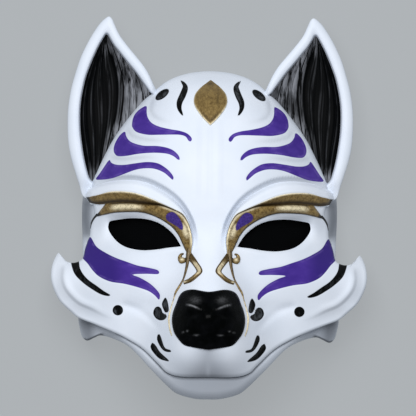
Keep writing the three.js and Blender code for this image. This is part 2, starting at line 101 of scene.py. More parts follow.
# Ear: outer edge and the matching edge of the hollow, from the tip round by the outer side.
EAR = [
    (64.4, 119.9, 65.6, 108.6), (67.6, 117.9, 66.6, 108.2), (71, 114.1, 68.4, 105.2),
    (75.1, 107.8, 70.9, 100.6), (78.7, 101.1, 72.9, 96.2), (82.2, 93.3, 75.4, 90.3),
    (85.1, 84.2, 78.2, 82.6), (87.4, 75.8, 80, 75.3), (88.9, 67.4, 81.4, 67.2), (89.7, 58.9, 82, 58.9),
    (89.7, 48.2, 81.7, 48.3), (89, 38.9, 80.6, 39), (87.4, 30.8, 79.2, 30.7), (84.8, 22.1, 77.2, 22.4),
    (82.3, 14.7, 75, 17), (79, 6, 70, 14), (70, 6, 67, 19), (62, 20, 63, 29), (54, 35, 57, 41),
    (45, 50, 48.5, 54), (35, 62, 39, 65.5), (31.5, 69, 36.5, 70.5), (34.5, 74.2, 38.6, 73),
    (38.8, 83.4, 43, 78.9), (42.5, 89.4, 47.3, 84.8), (47.4, 95.4, 52.5, 91), (52.8, 101.9, 57.5, 97.2),
    (57.7, 108.5, 61, 101.6), (60.8, 115.1, 63.6, 105.8), (62.3, 118.3, 64.6, 107.8)]
EAR_MIDDLE = (63.5, 60.0)
EAR_RIM_Z = 36.0
EAR_LEAN = 0.05
EAR_TURN = 0.14
EAR_DEEP = 13.0
EAR_THICK = 4.5
EAR_ROLL = 7.5
EAR_HAIR_RISE = 0.7
# Left and right limits of the hair in the hollow: height, inner x, outer x.
EAR_HAIR = np.array([(10, 60, 76), (30, 51, 79.5), (48, 44, 81.8), (62, 42, 82), (76, 43.5, 80.4),
                     (88, 49, 77), (98, 56, 73), (106, 61.5, 69.5), (112, 64.5, 67.5)])

# Brow ridge, one line each from the outer end to the inner corner of the eye.
PAD_TOP = [
    (77.2, 11.6), (67, 15.6), (57, 17.2), (46.9, 17.3), (39, 15.6), (32, 12.4), (25.5, 8.4), (19.8, 3.4),
    (15.4, -2.6), (12.2, -9), (10.6, -15), (10, -21), (10.6, -26)]
GOLD_TOP = [
    (77.6, 6), (70.5, 7.3), (62.3, 9.5), (52.5, 9.6), (44, 8.1), (36.9, 5.5), (29.4, 2.2), (22.4, -0.9),
    (16.8, -3.9), (13.3, -9.2), (11.5, -14.8), (10.6, -21), (11.4, -29)]
GOLD_FOLD = [
    (75.6, 2.7), (70, 1.7), (61.5, 2.4), (52.5, 2.9), (44, 2.5), (37.4, 1.9), (30.4, 0.9), (22.9, -1.7),
    (17.4, -4.8), (13.9, -9.6), (12, -15), (11.1, -21), (11.7, -29)]
LOWER_TOP = [
    (65.5, 2), (61.5, 2.4), (56.5, 2.8), (50.5, 2.9), (44, 2.5), (37.4, 2.1), (30.2, 1.4), (22.7, -1.2),
    (17.1, -4.3), (13.6, -9.4), (11.7, -14.9), (10.8, -21), (11.5, -29.2)]
LOWER_FOOT = [
    (71.8, -6.2), (65.8, -4.8), (59.4, -3.5), (51.8, -3), (44.4, -3), (38.4, -4.1), (32.3, -6.5),
    (27, -9.5), (22.8, -12.8), (19.4, -17.2), (17.4, -21.2), (15.6, -25.2), (13, -30.2)]
PAD_EDGE = -3.1
PAD_ROOT = 3.9
PAD_RISE = 4.6
FOLD_RISE = 1.2
LOBE_RISE = 3.4
FOOT_RISE = 0.7

NOSE = [
    (0, -52.2), (9.6, -50.9), (15.4, -52), (18.4, -55), (20.4, -60), (22.3, -65.2), (23, -71),
    (21.6, -77.7), (18.1, -83), (14.8, -86), (9.3, -87.2), (4, -88), (0, -88.5)]
NOSE_MIDDLE = (0.0, -69.0)
NOSTRIL_RIM = [(14.6, -60.4), (11, -60.9), (7.6, -62.2), (4.8, -63.6)]
NOSE_RISE = 5.6
NOSE_STEP = 2.2
LEAF = [
    (0, 80.4), (1, 79.8), (2.8, 78.4), (5.4, 76.4), (8.2, 73.5), (9.8, 71), (10.5, 67.6), (10.2, 65.3),
    (9.3, 63), (7.5, 60.2), (4.2, 56.1), (1.1, 53.1), (0, 52.2)]
LEAF_MIDDLE = (0.0, 66.5)
LEAF_RISE = 1.8

# Painted marks of one half, outlines in millimetres.
STRIPES = [
    [(40.2, 63.7), (40, 59.9), (39.3, 56.5), (36.8, 53.1), (32.1, 50.8), (25.2, 49.2), (19.1, 48.2),
     (14.3, 46.5), (11.5, 43.5), (12.2, 41.6), (13.6, 42.1), (15.3, 44.5), (18.4, 45.6), (23.2, 45.8),
     (32, 45.6), (39.5, 45.6), (46.3, 47.3), (48.9, 50.3), (49.2, 52.3), (48.5, 56.4), (46.4, 59.9),
     (43.1, 62.6)],
    [(53.7, 47.6), (52.8, 44.8), (50.9, 42), (47.7, 40.2), (41.5, 38.7), (33.4, 38.6), (27.2, 37.6),
     (22.9, 35.8), (19.7, 32.7), (19, 30.2), (20.3, 30.2), (22.8, 32.2), (27.2, 33.8), (35.3, 34.3),
     (44.6, 33.6), (52, 32.3), (57.6, 32), (59.8, 33.5), (60.6, 36), (59.9, 39.8), (57.1, 44.8)],
    [(63.3, 29.6), (61.9, 27.9), (58.8, 26.7), (53.8, 26.6), (47, 27.6), (39.6, 28.5), (33.3, 27.9),
     (29, 25.8), (25.2, 22.7), (22.8, 19.3), (23.2, 17.4), (25.2, 19), (28.9, 22), (34.6, 24.2),
     (40.8, 24.5), (47, 23.4), (54.4, 20.6), (60.6, 18.3), (66.2, 17.3), (70.8, 17.1), (71.6, 17.9),
     (69.3, 21), (66.2, 25.7)]]
CHEEK_BAND = [
    (74.7, -18.9), (70.9, -24.7), (65.4, -28.4), (58.6, -31.7), (51.7, -34.1), (44.9, -36.4), (38.1, -37.7),
    (32.6, -39), (31.2, -40.5), (32.2, -41.7), (39.4, -41.6), (47.9, -42.1), (43.5, -43.9), (38, -46.9),
    (33.9, -50.2), (30.8, -54), (30.7, -57), (31.4, -57.6), (33.8, -55), (37.9, -52.3), (44.8, -50),
    (53, -48), (61.8, -46.7), (68.7, -43.7), (72.8, -40), (76.2, -35.6), (79.4, -32.2), (81.5, -28),
    (76.9, -22.4)]
PURPLE = STRIPES + [CHEEK_BAND]
FLARE_MARK = [
    (86.5, -34), (82.2, -33.4), (81, -38.4), (78.9, -42.2), (75.4, -45.9), (70.6, -49.2), (65.8, -52.6),
    (61.7, -55.1), (63.4, -55.8), (67.9, -54.7), (73.4, -51.6), (78.8, -47.8), (83.6, -43.2), (85.8, -38.8)]
WHISKERS = [
    [(27, -56.3), (25.6, -59), (24.9, -64.4), (26.9, -65.7), (28.3, -63.7), (29.3, -60.4), (28.3, -57.7)],
    [(31.7, -61.9), (29.7, -63.1), (28.6, -65.9), (25.9, -67.5), (27.5, -70), (30.3, -70.6), (33, -69.3),
     (34.7, -66.3), (33.8, -63.1)],
    [(31.2, -78.8), (29.8, -80.5), (28.1, -85.6), (26.7, -88), (23.6, -89), (23.6, -90.3), (27.3, -89.8),
     (30.1, -87), (32.2, -82.2)],
    [(34.9, -84.6), (32.8, -86.4), (30.1, -90.4), (24.9, -95.1), (25.3, -96.1), (30.1, -94.8),
     (33.5, -91.8), (36.2, -87.7)]]
FOREHEAD_CURL = [(18.7, 79.9), (16.4, 77.1), (16.1, 74.6), (17.5, 70.6), (19.4, 66.2), (19.4, 62.1),
                 (17.3, 57.8)]
CHEEK_DOT = (56.9, -64.6, 3.3)
CROWN_DOT = (30.4, 71.0, 5.1, 2.4, -38.0)
DROP = [(27.2, -5.1), (25.8, -3.4), (23.4, -2.7), (21, -3.8), (18.6, -6.9), (16.6, -11.2), (17.2, -13.9),
        (20.5, -11.5), (24.3, -9.4), (26.8, -7.5)]

# Gold line work: centre lines from the knot at the inner corner of the eye, with radii along them.
CURL = [(12.9, -31), (14.8, -32.8), (17, -32.9), (18.1, -31.2), (17.5, -29.4), (16, -28.8)]
BRANCH_OUTER = [(11.6, -28.6), (7.4, -34.2), (4.5, -39.4), (7.4, -43.1), (11.1, -46.1), (15.3, -47.4)]
BRANCH_INNER = [(11.9, -32.6), (9, -36.4), (7.4, -39.8), (9.9, -42.6), (12.8, -44.8), (16, -46.2)]
BRANCH = [(11.7, -30.5), (8.2, -35.3), (6, -39.6), (8.7, -42.9), (12, -45.4), (15.4, -46.8)]
TAIL = [(12.2, -25.5), (12.7, -29), (13.2, -33), (14, -38), (15.8, -44.5), (18.6, -49.8), (20.5, -53),
        (21.8, -57), (23.6, -63.5), (24.6, -69), (24.1, -75.5), (22.8, -79.9)]
WIRES = (("curl", CURL, (1.1, 1.5, 2.2, 1.5, 0.9, 0.55)),
         ("branch", BRANCH, (1.0, 1.2, 1.2, 1.1, 1.0, 1.1)),
         ("branch_outer", BRANCH_OUTER, (0.8, 0.55, 0.5, 0.6, 0.55, 0.7)),
         ("branch_inner", BRANCH_INNER, (0.7, 0.5, 0.45, 0.45, 0.5, 0.5)),
         ("tail", TAIL, (1.9, 1.8, 1.3, 1.0, 0.7, 0.95, 0.85, 0.45, 0.5, 0.7, 0.55, 0.35)))

# Swellings and hollows of the face and the nose: rise, middle, half sizes.
FACE_BUMPS = [
    (2.4, 17, -93, 10, 9), (-0.7, 0, -96.5, 3.2, 6), (0.6, 6.5, 32, 5, 26), (2.2, 50, -35, 16, 7),
    (-1.6, 44, -63, 15, 5), (2.6, 92, -52, 7, 12), (-0.35, 0, -96, 1, 6)]
NOSE_BUMPS = [
    (-2.4, 9.6, -66.5, 4.6, 2.8), (-0.9, 12, -80.5, 5, 1.6), (0.7, 0, -68, 3.5, 3.5), (-0.6, 0, -76, 1.8, 8),
    (-0.8, 0, -60, 2.6, 5)]
# Painted grey glints on the nose: strength, middle, half sizes.
NOSE_GLINTS = [
    (0.2, 8.5, -57.5, 3, 2), (0.4, 15.9, -77.7, 0.6, 0.5), (0.4, 13.2, -76.9, 0.6, 0.5),
    (0.4, 7.6, -79.4, 1.4, 0.45)]

# Soft lines of the carving and of painted shadow.
TEMPLE_GROOVE = [(77.6, 1.5), (78.2, -7), (77.2, -15.5)]
# painted shadow: a black line along the step where the face ends at the temple
TEMPLE_SHADOW = [(70.6, -4.8), (72.8, -7.4), (74.3, -10.6), (74.9, -13.8)]
# painted shadow: darker grey along the lower edge of the wall's corner tab
TAB_EDGE = [(77.5, -83.8), (76.1, -84.1), (71.5, -82.1), (67.1, -80.7)]
FLARE_PAD = [(90.6, -36), (91.2, -40.2), (91.5, -44.6), (90.1, -50.1), (86.3, -55.5), (80.8, -60.2),
             (73.2, -63.5), (65, -67.6), (57, -70.2)]
MUZZLE_FOLD = [(56, -60.6), (52.8, -61.3), (48, -62.6), (41.2, -66), (34.3, -72), (29.5, -78)]
CROWN_FOLD = [(35, 71), (37, 66), (37.6, 61.4), (35.6, 57.6), (30.4, 55), (23, 53.4)]
PAD_FOLDS = [[(52, 51), (50.4, 46.6), (47, 44.2), (40, 42.6), (32, 42.2), (25, 41)],
             [(62.5, 33.5), (60, 31.2), (54, 30.2), (46, 31), (38, 31.4), (31, 30)]]
FOLD_ENDS = (0, 0.2), (0.6, 1)
# Shade over the mouth: height on the face, strength, half width.
MOUTH_SHADE = np.array([(-104.5, 0.8, 17), (-102, 0.65, 14), (-99, 0.55, 11), (-94, 0.38, 9),
                        (-88, 0.3, 8), (-86, 0, 8)])


# Curves and distances

def along(table, at, column):
    """Table value at a height: between two rows the value eases over, carrying each row's own slope."""
    y = np.clip(at, table[0, 0], table[-1, 0])
    i = np.clip(np.searchsorted(table[:, 0], y, side="left") - 1, 0, len(table) - 2)
    before = np.maximum(np.arange(len(table)) - 1, 0)
    after = np.minimum(np.arange(len(table)) + 1, len(table) - 1)
    slope = (table[after, column] - table[before, column]) / (table[after, 0] - table[before, 0])
    step = table[i + 1, 0] - table[i, 0]
    t = (y - table[i, 0]) / step
    bend = t * t * (3 - 2 * t)
    return (table[i, column] * (1 - bend) + table[i + 1, column] * bend
            + t * (1 - t) ** 2 * step * slope[i] + t * t * (t - 1) * step * slope[i + 1])


def ease(a, b, v):
    """Rises from 0 at a to 1 at b with level ends."""
    t = np.clip((v - a) / (b - a), 0, 1)
    return t * t * (3 - 2 * t)


def bump(x, y, cx, cy, wide, high):
    """Bell-shaped bump: e to the minus of the squared distances over the half sizes."""
    return np.exp(-((x - cx) / wide) ** 2 - ((y - cy) / high) ** 2)


def run(points, steps, closed=True):
    """Smooth line through points: a cubic between each two, with slopes from their neighbours."""
    p = np.array(points, dtype=float)
    n = len(p)
    spans = n if closed else n - 1
    i = np.repeat(np.arange(spans), steps)
    t = np.tile(np.arange(steps) / steps, spans)[:, None]
    pick = (lambda k: p[k % n]) if closed else (lambda k: p[np.clip(k, 0, n - 1)])
    a, b, c, d = pick(i - 1), pick(i), pick(i + 1), pick(i + 2)
    line = 0.5 * (2 * b + (c - a) * t + (2 * a - 5 * b + 4 * c - d) * t ** 2
                  + (3 * b - a - 3 * c + d) * t ** 3)
    return line if closed else np.vstack([line, p[-1]])


def line_gap(x, y, line, reach):
    """Distance to a polyline, signed by the side it lies on, and how far along it the nearest point is."""
    shape = x.shape
    x, y = x.ravel(), y.ravel()
    gap = np.full(x.size, float(reach))
    place = np.zeros(x.size)
    line = np.asarray(line, dtype=float)
    lo, hi = line.min(0) - reach, line.max(0) + reach
    near = np.nonzero((x > lo[0]) & (x < hi[0]) & (y > lo[1]) & (y < hi[1]))[0]
    if near.size:
        a, b = line[:-1], line[1:]
        ab = b - a
        px = x[near][:, None] - a[:, 0]
        py = y[near][:, None] - a[:, 1]
        t = np.clip((px * ab[:, 0] + py * ab[:, 1]) / (ab ** 2).sum(1), 0, 1)
        dx, dy = px - t * ab[:, 0], py - t * ab[:, 1]
        distance = np.hypot(dx, dy)
        k = distance.argmin(1)
        r = np.arange(near.size)
        side = np.sign(ab[k, 0] * py[r, k] - ab[k, 1] * px[r, k])
        gap[near] = np.minimum(distance[r, k], reach) * np.where(side == 0, 1, side)
        place[near] = (k + t[r, k]) / len(a)
    return gap.reshape(shape), place.reshape(shape)


def beside(x, y, points, reach=BEYOND, steps=6):
    """Distance to the smooth line through points, and how far along it, as line_gap gives them."""
    return line_gap(x, y, run(points, steps, False), reach)


def stroke(x, y, points, wide, start, stop):
    """Soft line through points, 1 on it: e to the minus of the squared distance over its width. It fades in
    and out between the shares of its length given for its start and its stop."""
    gap, place = beside(x, y, points)
    return np.exp(-(gap / wide) ** 2) * ease(*start, place) * ease(*stop[::-1], place)


def bumps(x, y, rows):
    """Sum of bell-shaped bumps, each from its rise, middle and half sizes."""
    return sum(rise * bump(x, y, *where) for rise, *where in rows)


def outline_gap(x, y, outline, reach=FAR, steps=6):
    """Distance to a closed outline in millimetres, negative inside it (odd number of crossings)."""
    loop = run(outline, steps)
    closed = np.vstack([loop, loop[:1]])
    gap = np.abs(line_gap(x, y, closed, reach)[0])
    within = np.zeros(x.shape, dtype=bool)
    lo, hi = loop.min(0), loop.max(0)
    near = (x > lo[0]) & (x < hi[0]) & (y > lo[1]) & (y < hi[1])
    if near.any():
        px, py = x[near][:, None], y[near][:, None]
        a, b = closed[:-1], closed[1:]
        across = (a[:, 1] > py) != (b[:, 1] > py)
        height = np.where(b[:, 1] == a[:, 1], 1, b[:, 1] - a[:, 1])
        at = a[:, 0] + (py - a[:, 1]) * (b[:, 0] - a[:, 0]) / height
        within[near] = (across & (px < at)).sum(1) % 2 == 1
    return np.where(within, -gap, gap)


# The face

def face(x, y, slim=0.0):
    """Dome that falls from the middle line by a power of the half width, plus a bell-shaped muzzle."""
    middle = along(DOME, y, 1)
    out = np.abs(x) / along(DOME, y, 2)
    dome = middle - (middle - along(DOME, y, 3)) * out ** along(DOME, y, 4)
    return dome + along(MUZZLE, y, 1) * np.exp(-(np.abs(x) / (along(MUZZLE, y, 2) - slim)) ** MUZZLE_POWER)


def crown_dot(x, y):
    """About the distance in millimetres from the edge of the turned oval dot by the ear, negative inside."""
    cx, cy, long, short, turn = CROWN_DOT
    c, s = np.cos(np.radians(turn)), np.sin(np.radians(turn))
    u, v = (x - cx) * c + (y - cy) * s, -(x - cx) * s + (y - cy) * c
    return (np.hypot(u / long, v / short) - 1) * short


def relief(x, y):
    """The face with its carving: broad bumps, a groove over the brow, folds, flare roll and eyelids."""
    a = np.abs(x)
    z = face(x, y) + bumps(a, y, FACE_BUMPS)
    # groove: the forehead slopes down to the brow over 5 mm
    gap, place = beside(a, y, PAD_TOP, steps=8)
    z -= 2.5 * ease(3.4, 0.2, -gap) * ease(8.5, 3.5, gap) * ease(0.0, 0.14, place) * ease(1.0, 0.75, place)
    # flare: the pad ends in a rounded lip that drops to the outer roll
    gap, place = beside(a, y, FLARE_PAD, 14)
    ends = ease(0, 0.12, place) * ease(1, 0.62, place)
    z += ends * (0.7 * np.exp(-((gap + 1.2) / 2.2) ** 2) - 1.1 * ease(-0.6, 2.0, gap) * ease(14, 3, gap))
    z -= 0.9 * stroke(a, y, MUZZLE_FOLD, 2.4, (0, 0.3), (0.75, 1))
    z -= 0.8 * stroke(a, y, CROWN_FOLD, 1.6, *FOLD_ENDS)
    for fold in PAD_FOLDS:
        z -= 0.55 * stroke(a, y, fold, 1.7, *FOLD_ENDS)
    # painted marks are sunk a little
    for mark in PURPLE:
        z -= 0.35 * ease(0.6, -0.6, outline_gap(a, y, mark, 3))
    z -= 0.5 * ease(0.5, -2.0, outline_gap(a, y, FLARE_MARK, 3))
    for whisker in WHISKERS:
        z -= 1.1 * ease(0.3, -2.2, outline_gap(a, y, whisker, 3))
    z -= 0.8 * ease(0.3, -2.2, crown_dot(a, y))
    # eyelids: part of a round, wider at the outer corner, falls into the opening
    wide = LID + LID_OUTER * ease(46, 60, a)
    turn = 0.84 * np.clip((wide - outline_gap(a, y, EYE, 8)) / wide, 0, 1)
    return z - wide * (1 - np.sqrt(1 - turn ** 2))


def inside(x, y):
    """Inner face: the face drawn in towards the pole and lowered by the wall."""
    return face(x * 1.035, y + (y - POLE[1]) * 0.03, 3.0) - FACE_WALL - JAW_WALL * ease(-70, -92, y)


def backing(x, y):
    """Surface of the jaw band and temples, one step below the face."""
    return face(x, y) - STEP


def corner_fall(x, y):
    """How far the wall's lower corners fall away, evenly with the distance beyond the cheek's edge."""
    a = np.abs(x)
    far = np.hypot(np.maximum(0, a - 60), np.maximum(0, -y - 66))
    return CORNER_FALL * far * ease(-66, -70, y) * ease(52, 62, a)


def temples(x, y):
    """The backing with a soft groove down each temple, a fine one along the jaw where the face ends, and
    falling away over the lower corners."""
    gap, _ = beside(np.abs(x), y, TEMPLE_GROOVE)
    jaw = (0.5 + 0.5 * ease(-75, -90, y)) * np.exp(-(skin_edge(x, y) / 1.1) ** 2) * ease(-60, -70, y)
    return backing(x, y) - 2.8 * np.exp(-(gap / 2.5) ** 2) - jaw - corner_fall(x, y)


def skin_edge(x, y):
    """Distance beyond the edge of the face in millimetres, negative inside it."""
    return outline_gap(x, y, mirrored([q[:2] for q in SKIN]))


def height_at(shape, place):
    """Height of a surface at one place."""
    x, y = np.array(place, dtype=float)[:, None]
    return float(shape(x, y)[0])


def rim(x, y):
    """Back rim: level, then rising evenly towards the chin."""
    return np.maximum(0, RIM_RISE_START - y) * RIM_RISE_SLOPE + 0 * x


# Solids from rings

def mirrored(half):
    """Half outline from the middle line to the middle line, closed with its mirror image."""
    other = [(-p[0], p[1]) + ((-p[2], p[3]) if len(p) > 2 else ()) for p in half[-2:0:-1]]
    return list(half) + other


def partnered(outline, pole, part):
    """Gives each outline point its inner partner: the stated one, or a share of the way from the pole."""
    return [tuple(p) if len(p) == 4 else (p[0], p[1], pole[0] + (p[0] - pole[0]) * part,
                                          pole[1] + (p[1] - pole[1]) * part) for p in outline]


def grown(outline, by):
    """Moves each point of a closed outline along the normal of the chord between its neighbours."""
    p = np.array([q[:2] for q in outline], dtype=float)
    chord = np.roll(p, -1, 0) - np.roll(p, 1, 0)
    turn = np.sign((p[:, 0] * np.roll(p[:, 1], -1) - p[:, 1] * np.roll(p[:, 0], -1)).sum())
    normal = np.stack([chord[:, 1], -chord[:, 0]], 1) * turn
    return p + by * normal / np.linalg.norm(chord, axis=1)[:, None]


def ring(loop, pole, part, inset, height):
    """Points at a share of the way pole-partner (0..1) or partner-edge (1..2), less an inset in mm."""
    edge, partner = loop[:, :2], loop[:, 2:4]
    if part <= 1:
        xy = np.array(pole) + (partner - np.array(pole)) * part
    else:
        length = np.linalg.norm(edge - partner, axis=1)
        less = inset(edge[:, 0]) if callable(inset) else inset
        far = np.minimum(part - 1, 1 - less / length)
        xy = partner + (edge - partner) * far[:, None]
    return np.column_stack([xy, height(xy[:, 0], xy[:, 1])])


def rounded(loop, pole, radius, steps, height):
    """Quarter circle over the edge: inset r(1 - sin a), drop r(1 - cos a)."""
    angles = np.linspace(0, np.pi / 2, steps + 1)
    return [ring(loop, pole, 2, radius * (1 - np.sin(a)),
                 lambda x, y, a=a: height(x, y) - radius * (1 - np.cos(a))) for a in angles]


def solid(name, rings, first, last, slots, slot=0):
    """Closed mesh of rings joined by quads, with a fan to a point at each end, turned outwards."""
    count = len(rings[0])
    points = np.vstack([np.array([first])] + list(rings) + [np.array([last])]) * MM
    rows = len(rings)
    i = np.arange(count)
    j = (i + 1) % count
    k = np.arange(rows - 1)[:, None] * count + 1
    quads = np.stack([k + i, k + count + i, k + count + j, k + j], -1).reshape(-1, 4)
    start = np.column_stack([np.zeros(count, int), 1 + i, 1 + j])
    top = 1 + (rows - 1) * count
    end = np.column_stack([np.full(count, len(points) - 1), top + j, top + i])
    tris = np.vstack([start, end, quads[:, :3], quads[:, [0, 2, 3]]])
    a, b, c = points[tris[:, 0]], points[tris[:, 1]], points[tris[:, 2]]
    if (a * np.cross(b, c)).sum() < 0:
        start, end, quads = start[:, ::-1], end[:, ::-1], quads[:, ::-1]
    mesh = bpy.data.meshes.new(name)
    corners = np.concatenate([start.ravel(), end.ravel(), quads.ravel()])
    sizes = np.concatenate([np.full(len(start) + len(end), 3), np.full(len(quads), 4)])
    mesh.vertices.add(len(points))
    mesh.vertices.foreach_set("co", points.ravel())
    mesh.loops.add(len(corners))
    mesh.loops.foreach_set("vertex_index", corners.astype(np.int32))
    mesh.polygons.add(len(sizes))
    mesh.polygons.foreach_set("loop_start", np.concatenate([[0], np.cumsum(sizes)[:-1]]).astype(np.int32))
    mesh.polygons.foreach_set("material_index", np.full(len(sizes), slot, dtype=np.int32))
    mesh.update(calc_edges=True)
    mesh.validate()
    for material in slots:
        mesh.materials.append(material)
    piece = bpy.data.objects.new(name, mesh)
    bpy.context.scene.collection.objects.link(piece)
    return piece


def combined(piece, operation, *tools):
    """Joins or cuts closed pieces and drops the tools, keeping each tool's own material slot."""
    for tool in tools:
        step = piece.modifiers.new("step", "BOOLEAN")
        step.operation = operation
        step.solver = "MANIFOLD"
        step.object = tool
        bpy.context.view_layer.update()
        made = bpy.data.meshes.new_from_object(piece.evaluated_get(bpy.context.evaluated_depsgraph_get()))
        piece.modifiers.clear()
        piece.data = made
        bpy.data.objects.remove(tool)
    return piece


def smooth(piece, angle=40.0):
    """Smooth shading that keeps edges sharper than the angle, weighted by face area."""
    mesh = piece.data
    mesh.polygons.foreach_set("use_smooth", np.ones(len(mesh.polygons), dtype=bool))
    mesh.set_sharp_from_angle(angle=np.radians(angle))
    weighted = piece.modifiers.new("weighted", "WEIGHTED_NORMAL")
    weighted.keep_sharp = True
    return piece


def keep(piece, slot, *nodes):
    """Lets a piece ride on the mask's one body, standing for the nodes named, which are hidden; the slot is
    not used.
    """
    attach(piece, "root")
    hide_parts(*nodes)


def store(mesh, **values):
    """Keeps numbers per vertex, or one for all, as named attributes."""
    for name, value in values.items():
        layer = mesh.attributes.new(name, "FLOAT", "POINT")
        layer.data.foreach_set("value", np.full(len(mesh.vertices), value, dtype=np.float32))


def places(mesh):
    """Vertex coordinates in millimetres."""
    co = np.empty(len(mesh.vertices) * 3, dtype=np.float32)
    mesh.vertices.foreach_get("co", co)
    return co.reshape(-1, 3).astype(float) / MM


# Materials

def linear(code):
    """sRGB hex to linear colour."""
    value = np.array([int(code[i:i + 2], 16) for i in (1, 3, 5)]) / 255
    value = np.where(value <= 0.04045, value / 12.92, ((value + 0.055) / 1.055) ** 2.4)
    return (*value, 1.0)


def node(tree, kind, *values, out=0, **settings):
    """Adds one node with its settings and gives one output. Values fill its inputs in order, or by the keys
    of a dict; an output socket is linked, anything else is set."""
    made = tree.nodes.new("ShaderNode" + kind)
    for key, value in settings.items():
        setattr(made, key, value)
    given = values[0] if values and isinstance(values[0], dict) else dict(enumerate(values))
    for key, value in given.items():
        if isinstance(value, bpy.types.NodeSocket):
            tree.links.new(value, made.inputs[key])
        else:
            made.inputs[key].default_value = value
    return made.outputs[out] if made.outputs else None


def surface(name):
    """An empty material, and the node function for its tree."""
    material = bpy.data.materials.new(name)
    material.use_nodes = True
    material.node_tree.nodes.clear()
    return material, partial(node, material.node_tree)


def finished(material, add, inputs, height=None, strength=0.0, film=0.0):
    """Ends a material: a principled shader with these inputs, over a bump of the height times film in mm."""
    if height is not None:
        inputs["Normal"] = add("Bump", {"Height": height, "Strength": strength, "Distance": film * MM})
    add("OutputMaterial", add("BsdfPrincipled", inputs))
    return material


def stored(add, *names):
    """Numbers that the piece keeps at its points."""
    return [add("Attribute", attribute_name=name, out="Fac") for name in names]


def blotches(add, size, detail=2.0, rough=0.5, stretch=(1, 1, 1)):
    """Noise on object coordinates whose blotches are about the given size in millimetres."""
    placed = add("Mapping", {"Vector": add("TexCoord", out="Object"), "Scale": stretch})
    return add("TexNoise", {"Vector": placed, "Scale": 1 / (size * MM), "Detail": detail, "Roughness": rough})


def layered(add, base, *coats):
    """Colours laid over a base one after another, each as strongly as its factor says."""
    colour = lambda value: linear(value) if isinstance(value, str) else value
    for factor, coat in coats:
        base = add("Mix", {0: factor, 6: colour(base), 7: colour(coat)}, data_type="RGBA", out=2)
    return base


def white_paint(add):
    """Satin white that varies by a few percent over 20 mm."""
    return layered(add, "#DEE6F2", (add("MapRange", blotches(add, 22, 3), 0.35, 0.65), "#E3EAF5"))


def painted_resin():
    """Cast resin, primed and hand painted satin white, with purple and black marks that have a sharp edge.
    The white carries a whiter painted highlight on a few crests and grey painted shade in the hollows and
    along the rim, and shows fine brushing; purple is paler in streaks inside its edge, black has a patchy
    painted sheen."""
    material, add = surface("satin_paint_on_cast_resin")
    fresh, hollow, rim, shade = stored(add, "fresh", "hollow", "rim", "shade")
    purple, black = stored(add, "purple", "black")
    brush = blotches(add, 2.2, 2, 0.6, (1, 0.25, 0.6))
    # painted shade and painted highlight: grey in the grooves, under the flares and along the face's edge,
    # whiter on a few crests
    painted_shade = add("Math", hollow, add("MapRange", rim, 0.3, 1.7, 0.95, 0), operation="MAXIMUM")
    white = layered(add, white_paint(add), (fresh, "#EDF4FF"), (painted_shade, "#6D727B"))
    streaks = blotches(add, 7, 3, 0.55, (0.5, 1.4, 1))
    pale = add("MapRange", streaks, 0.45, 0.6, 0, 0.35)
    for low, high in ((-0.3, -0.8), (-2.0, -1.1)):
        pale = add("Math", pale, add("MapRange", purple, low, high), operation="MULTIPLY")
    enamel = layered(add, "#442E8C", (add("MapRange", streaks, 0.35, 0.65), "#4F3799"), (shade, "#38277B"),
                     (pale, "#7563AE"))
    # painted sheen: grey patches in the black marks stand for reflections
    sheen = add("MapRange", blotches(add, 5, 3, 0.6, (1.4, 0.6, 1)), 0.5, 0.66, 0, 0.42)
    sheen = add("Math", sheen, add("MapRange", black, -0.5, -1.1), operation="MULTIPLY")
    coat = layered(add, white, (add("MapRange", purple, *MARK_EDGE), enamel),
                   (add("MapRange", black, *MARK_EDGE), layered(add, "#030404", (sheen, "#5C6167"))))
    # paint film 0.1 mm high at the marks' edges over brushing 2 mm wide
    film = add("MapRange", add("Math", purple, black, operation="MINIMUM"), 0.25, -0.25, 0, 0.1)
    height = add("Math", brush, 0.05, film, operation="MULTIPLY_ADD")
    rough = add("MapRange", brush, 0.3, 0.7, 0.36, 0.46)
    return finished(material, add, {"Base Color": coat, "Roughness": rough, "Specular IOR Level": 0.1},
                    height, 0.6, 1)


def ear_paint():
    """The same resin; the hollow is painted black and its carved hair dry-brushed with grey. A stored phase
    counts the strands: their height is |sin| of pi times it and of 2.7 pi times it, and grey lies above a
    stored height."""
    material, add = surface("dry_brushed_paint_on_resin")
    strand, cut, brushed, lining = stored(add, "strand", "cut", "brushed", "lining")
    drag = blotches(add, 5, 4, 0.65, (2.4, 0.2, 1))
    patch = blotches(add, 13, 2, 0.5, (1.5, 0.7, 1))
    above = add("Math", 0, cut, operation="SUBTRACT")
    for times, power, share in ((1, 0.6, 0.7), (2.7, 0.7, 0.3)):
        wave = add("Math", add("Math", strand, times * np.pi, operation="MULTIPLY"), operation="SINE")
        hair = add("Math", add("Math", wave, operation="ABSOLUTE"), power, operation="POWER")
        above = add("Math", hair, share, above, operation="MULTIPLY_ADD")
    for value in (add("MapRange", above, 0, 0.16), add("MapRange", drag, 0.38, 0.54),
                  add("MapRange", patch, 0.38, 0.54, 0.35, 1)):
        brushed = add("Math", brushed, value, operation="MULTIPLY")
    coat = layered(add, white_paint(add), (add("MapRange", lining, *LINING_EDGE),
                                           layered(add, "#030405", (brushed, "#8D9097"))))
    rough = add("MapRange", lining, *LINING_EDGE, 0.38, 0.65)
    return finished(material, add, {"Base Color": coat, "Roughness": rough, "Specular IOR Level": 0.06},
                    drag, 0.25, 0.4)


def inner_paint():
    """Matt black paint brushed over the bare casting: grain of a few millimetres, almost no shine."""
    material, add = surface("matt_black_paint_on_resin")
    grain = blotches(add, 4, 4, 0.6)
    return finished(material, add, {"Base Color": layered(add, "#101214", (grain, "#232629")),
                                    "Roughness": add("MapRange", grain, 0.3, 0.7, 0.6, 0.8)}, grain, 0.4, 0.4)


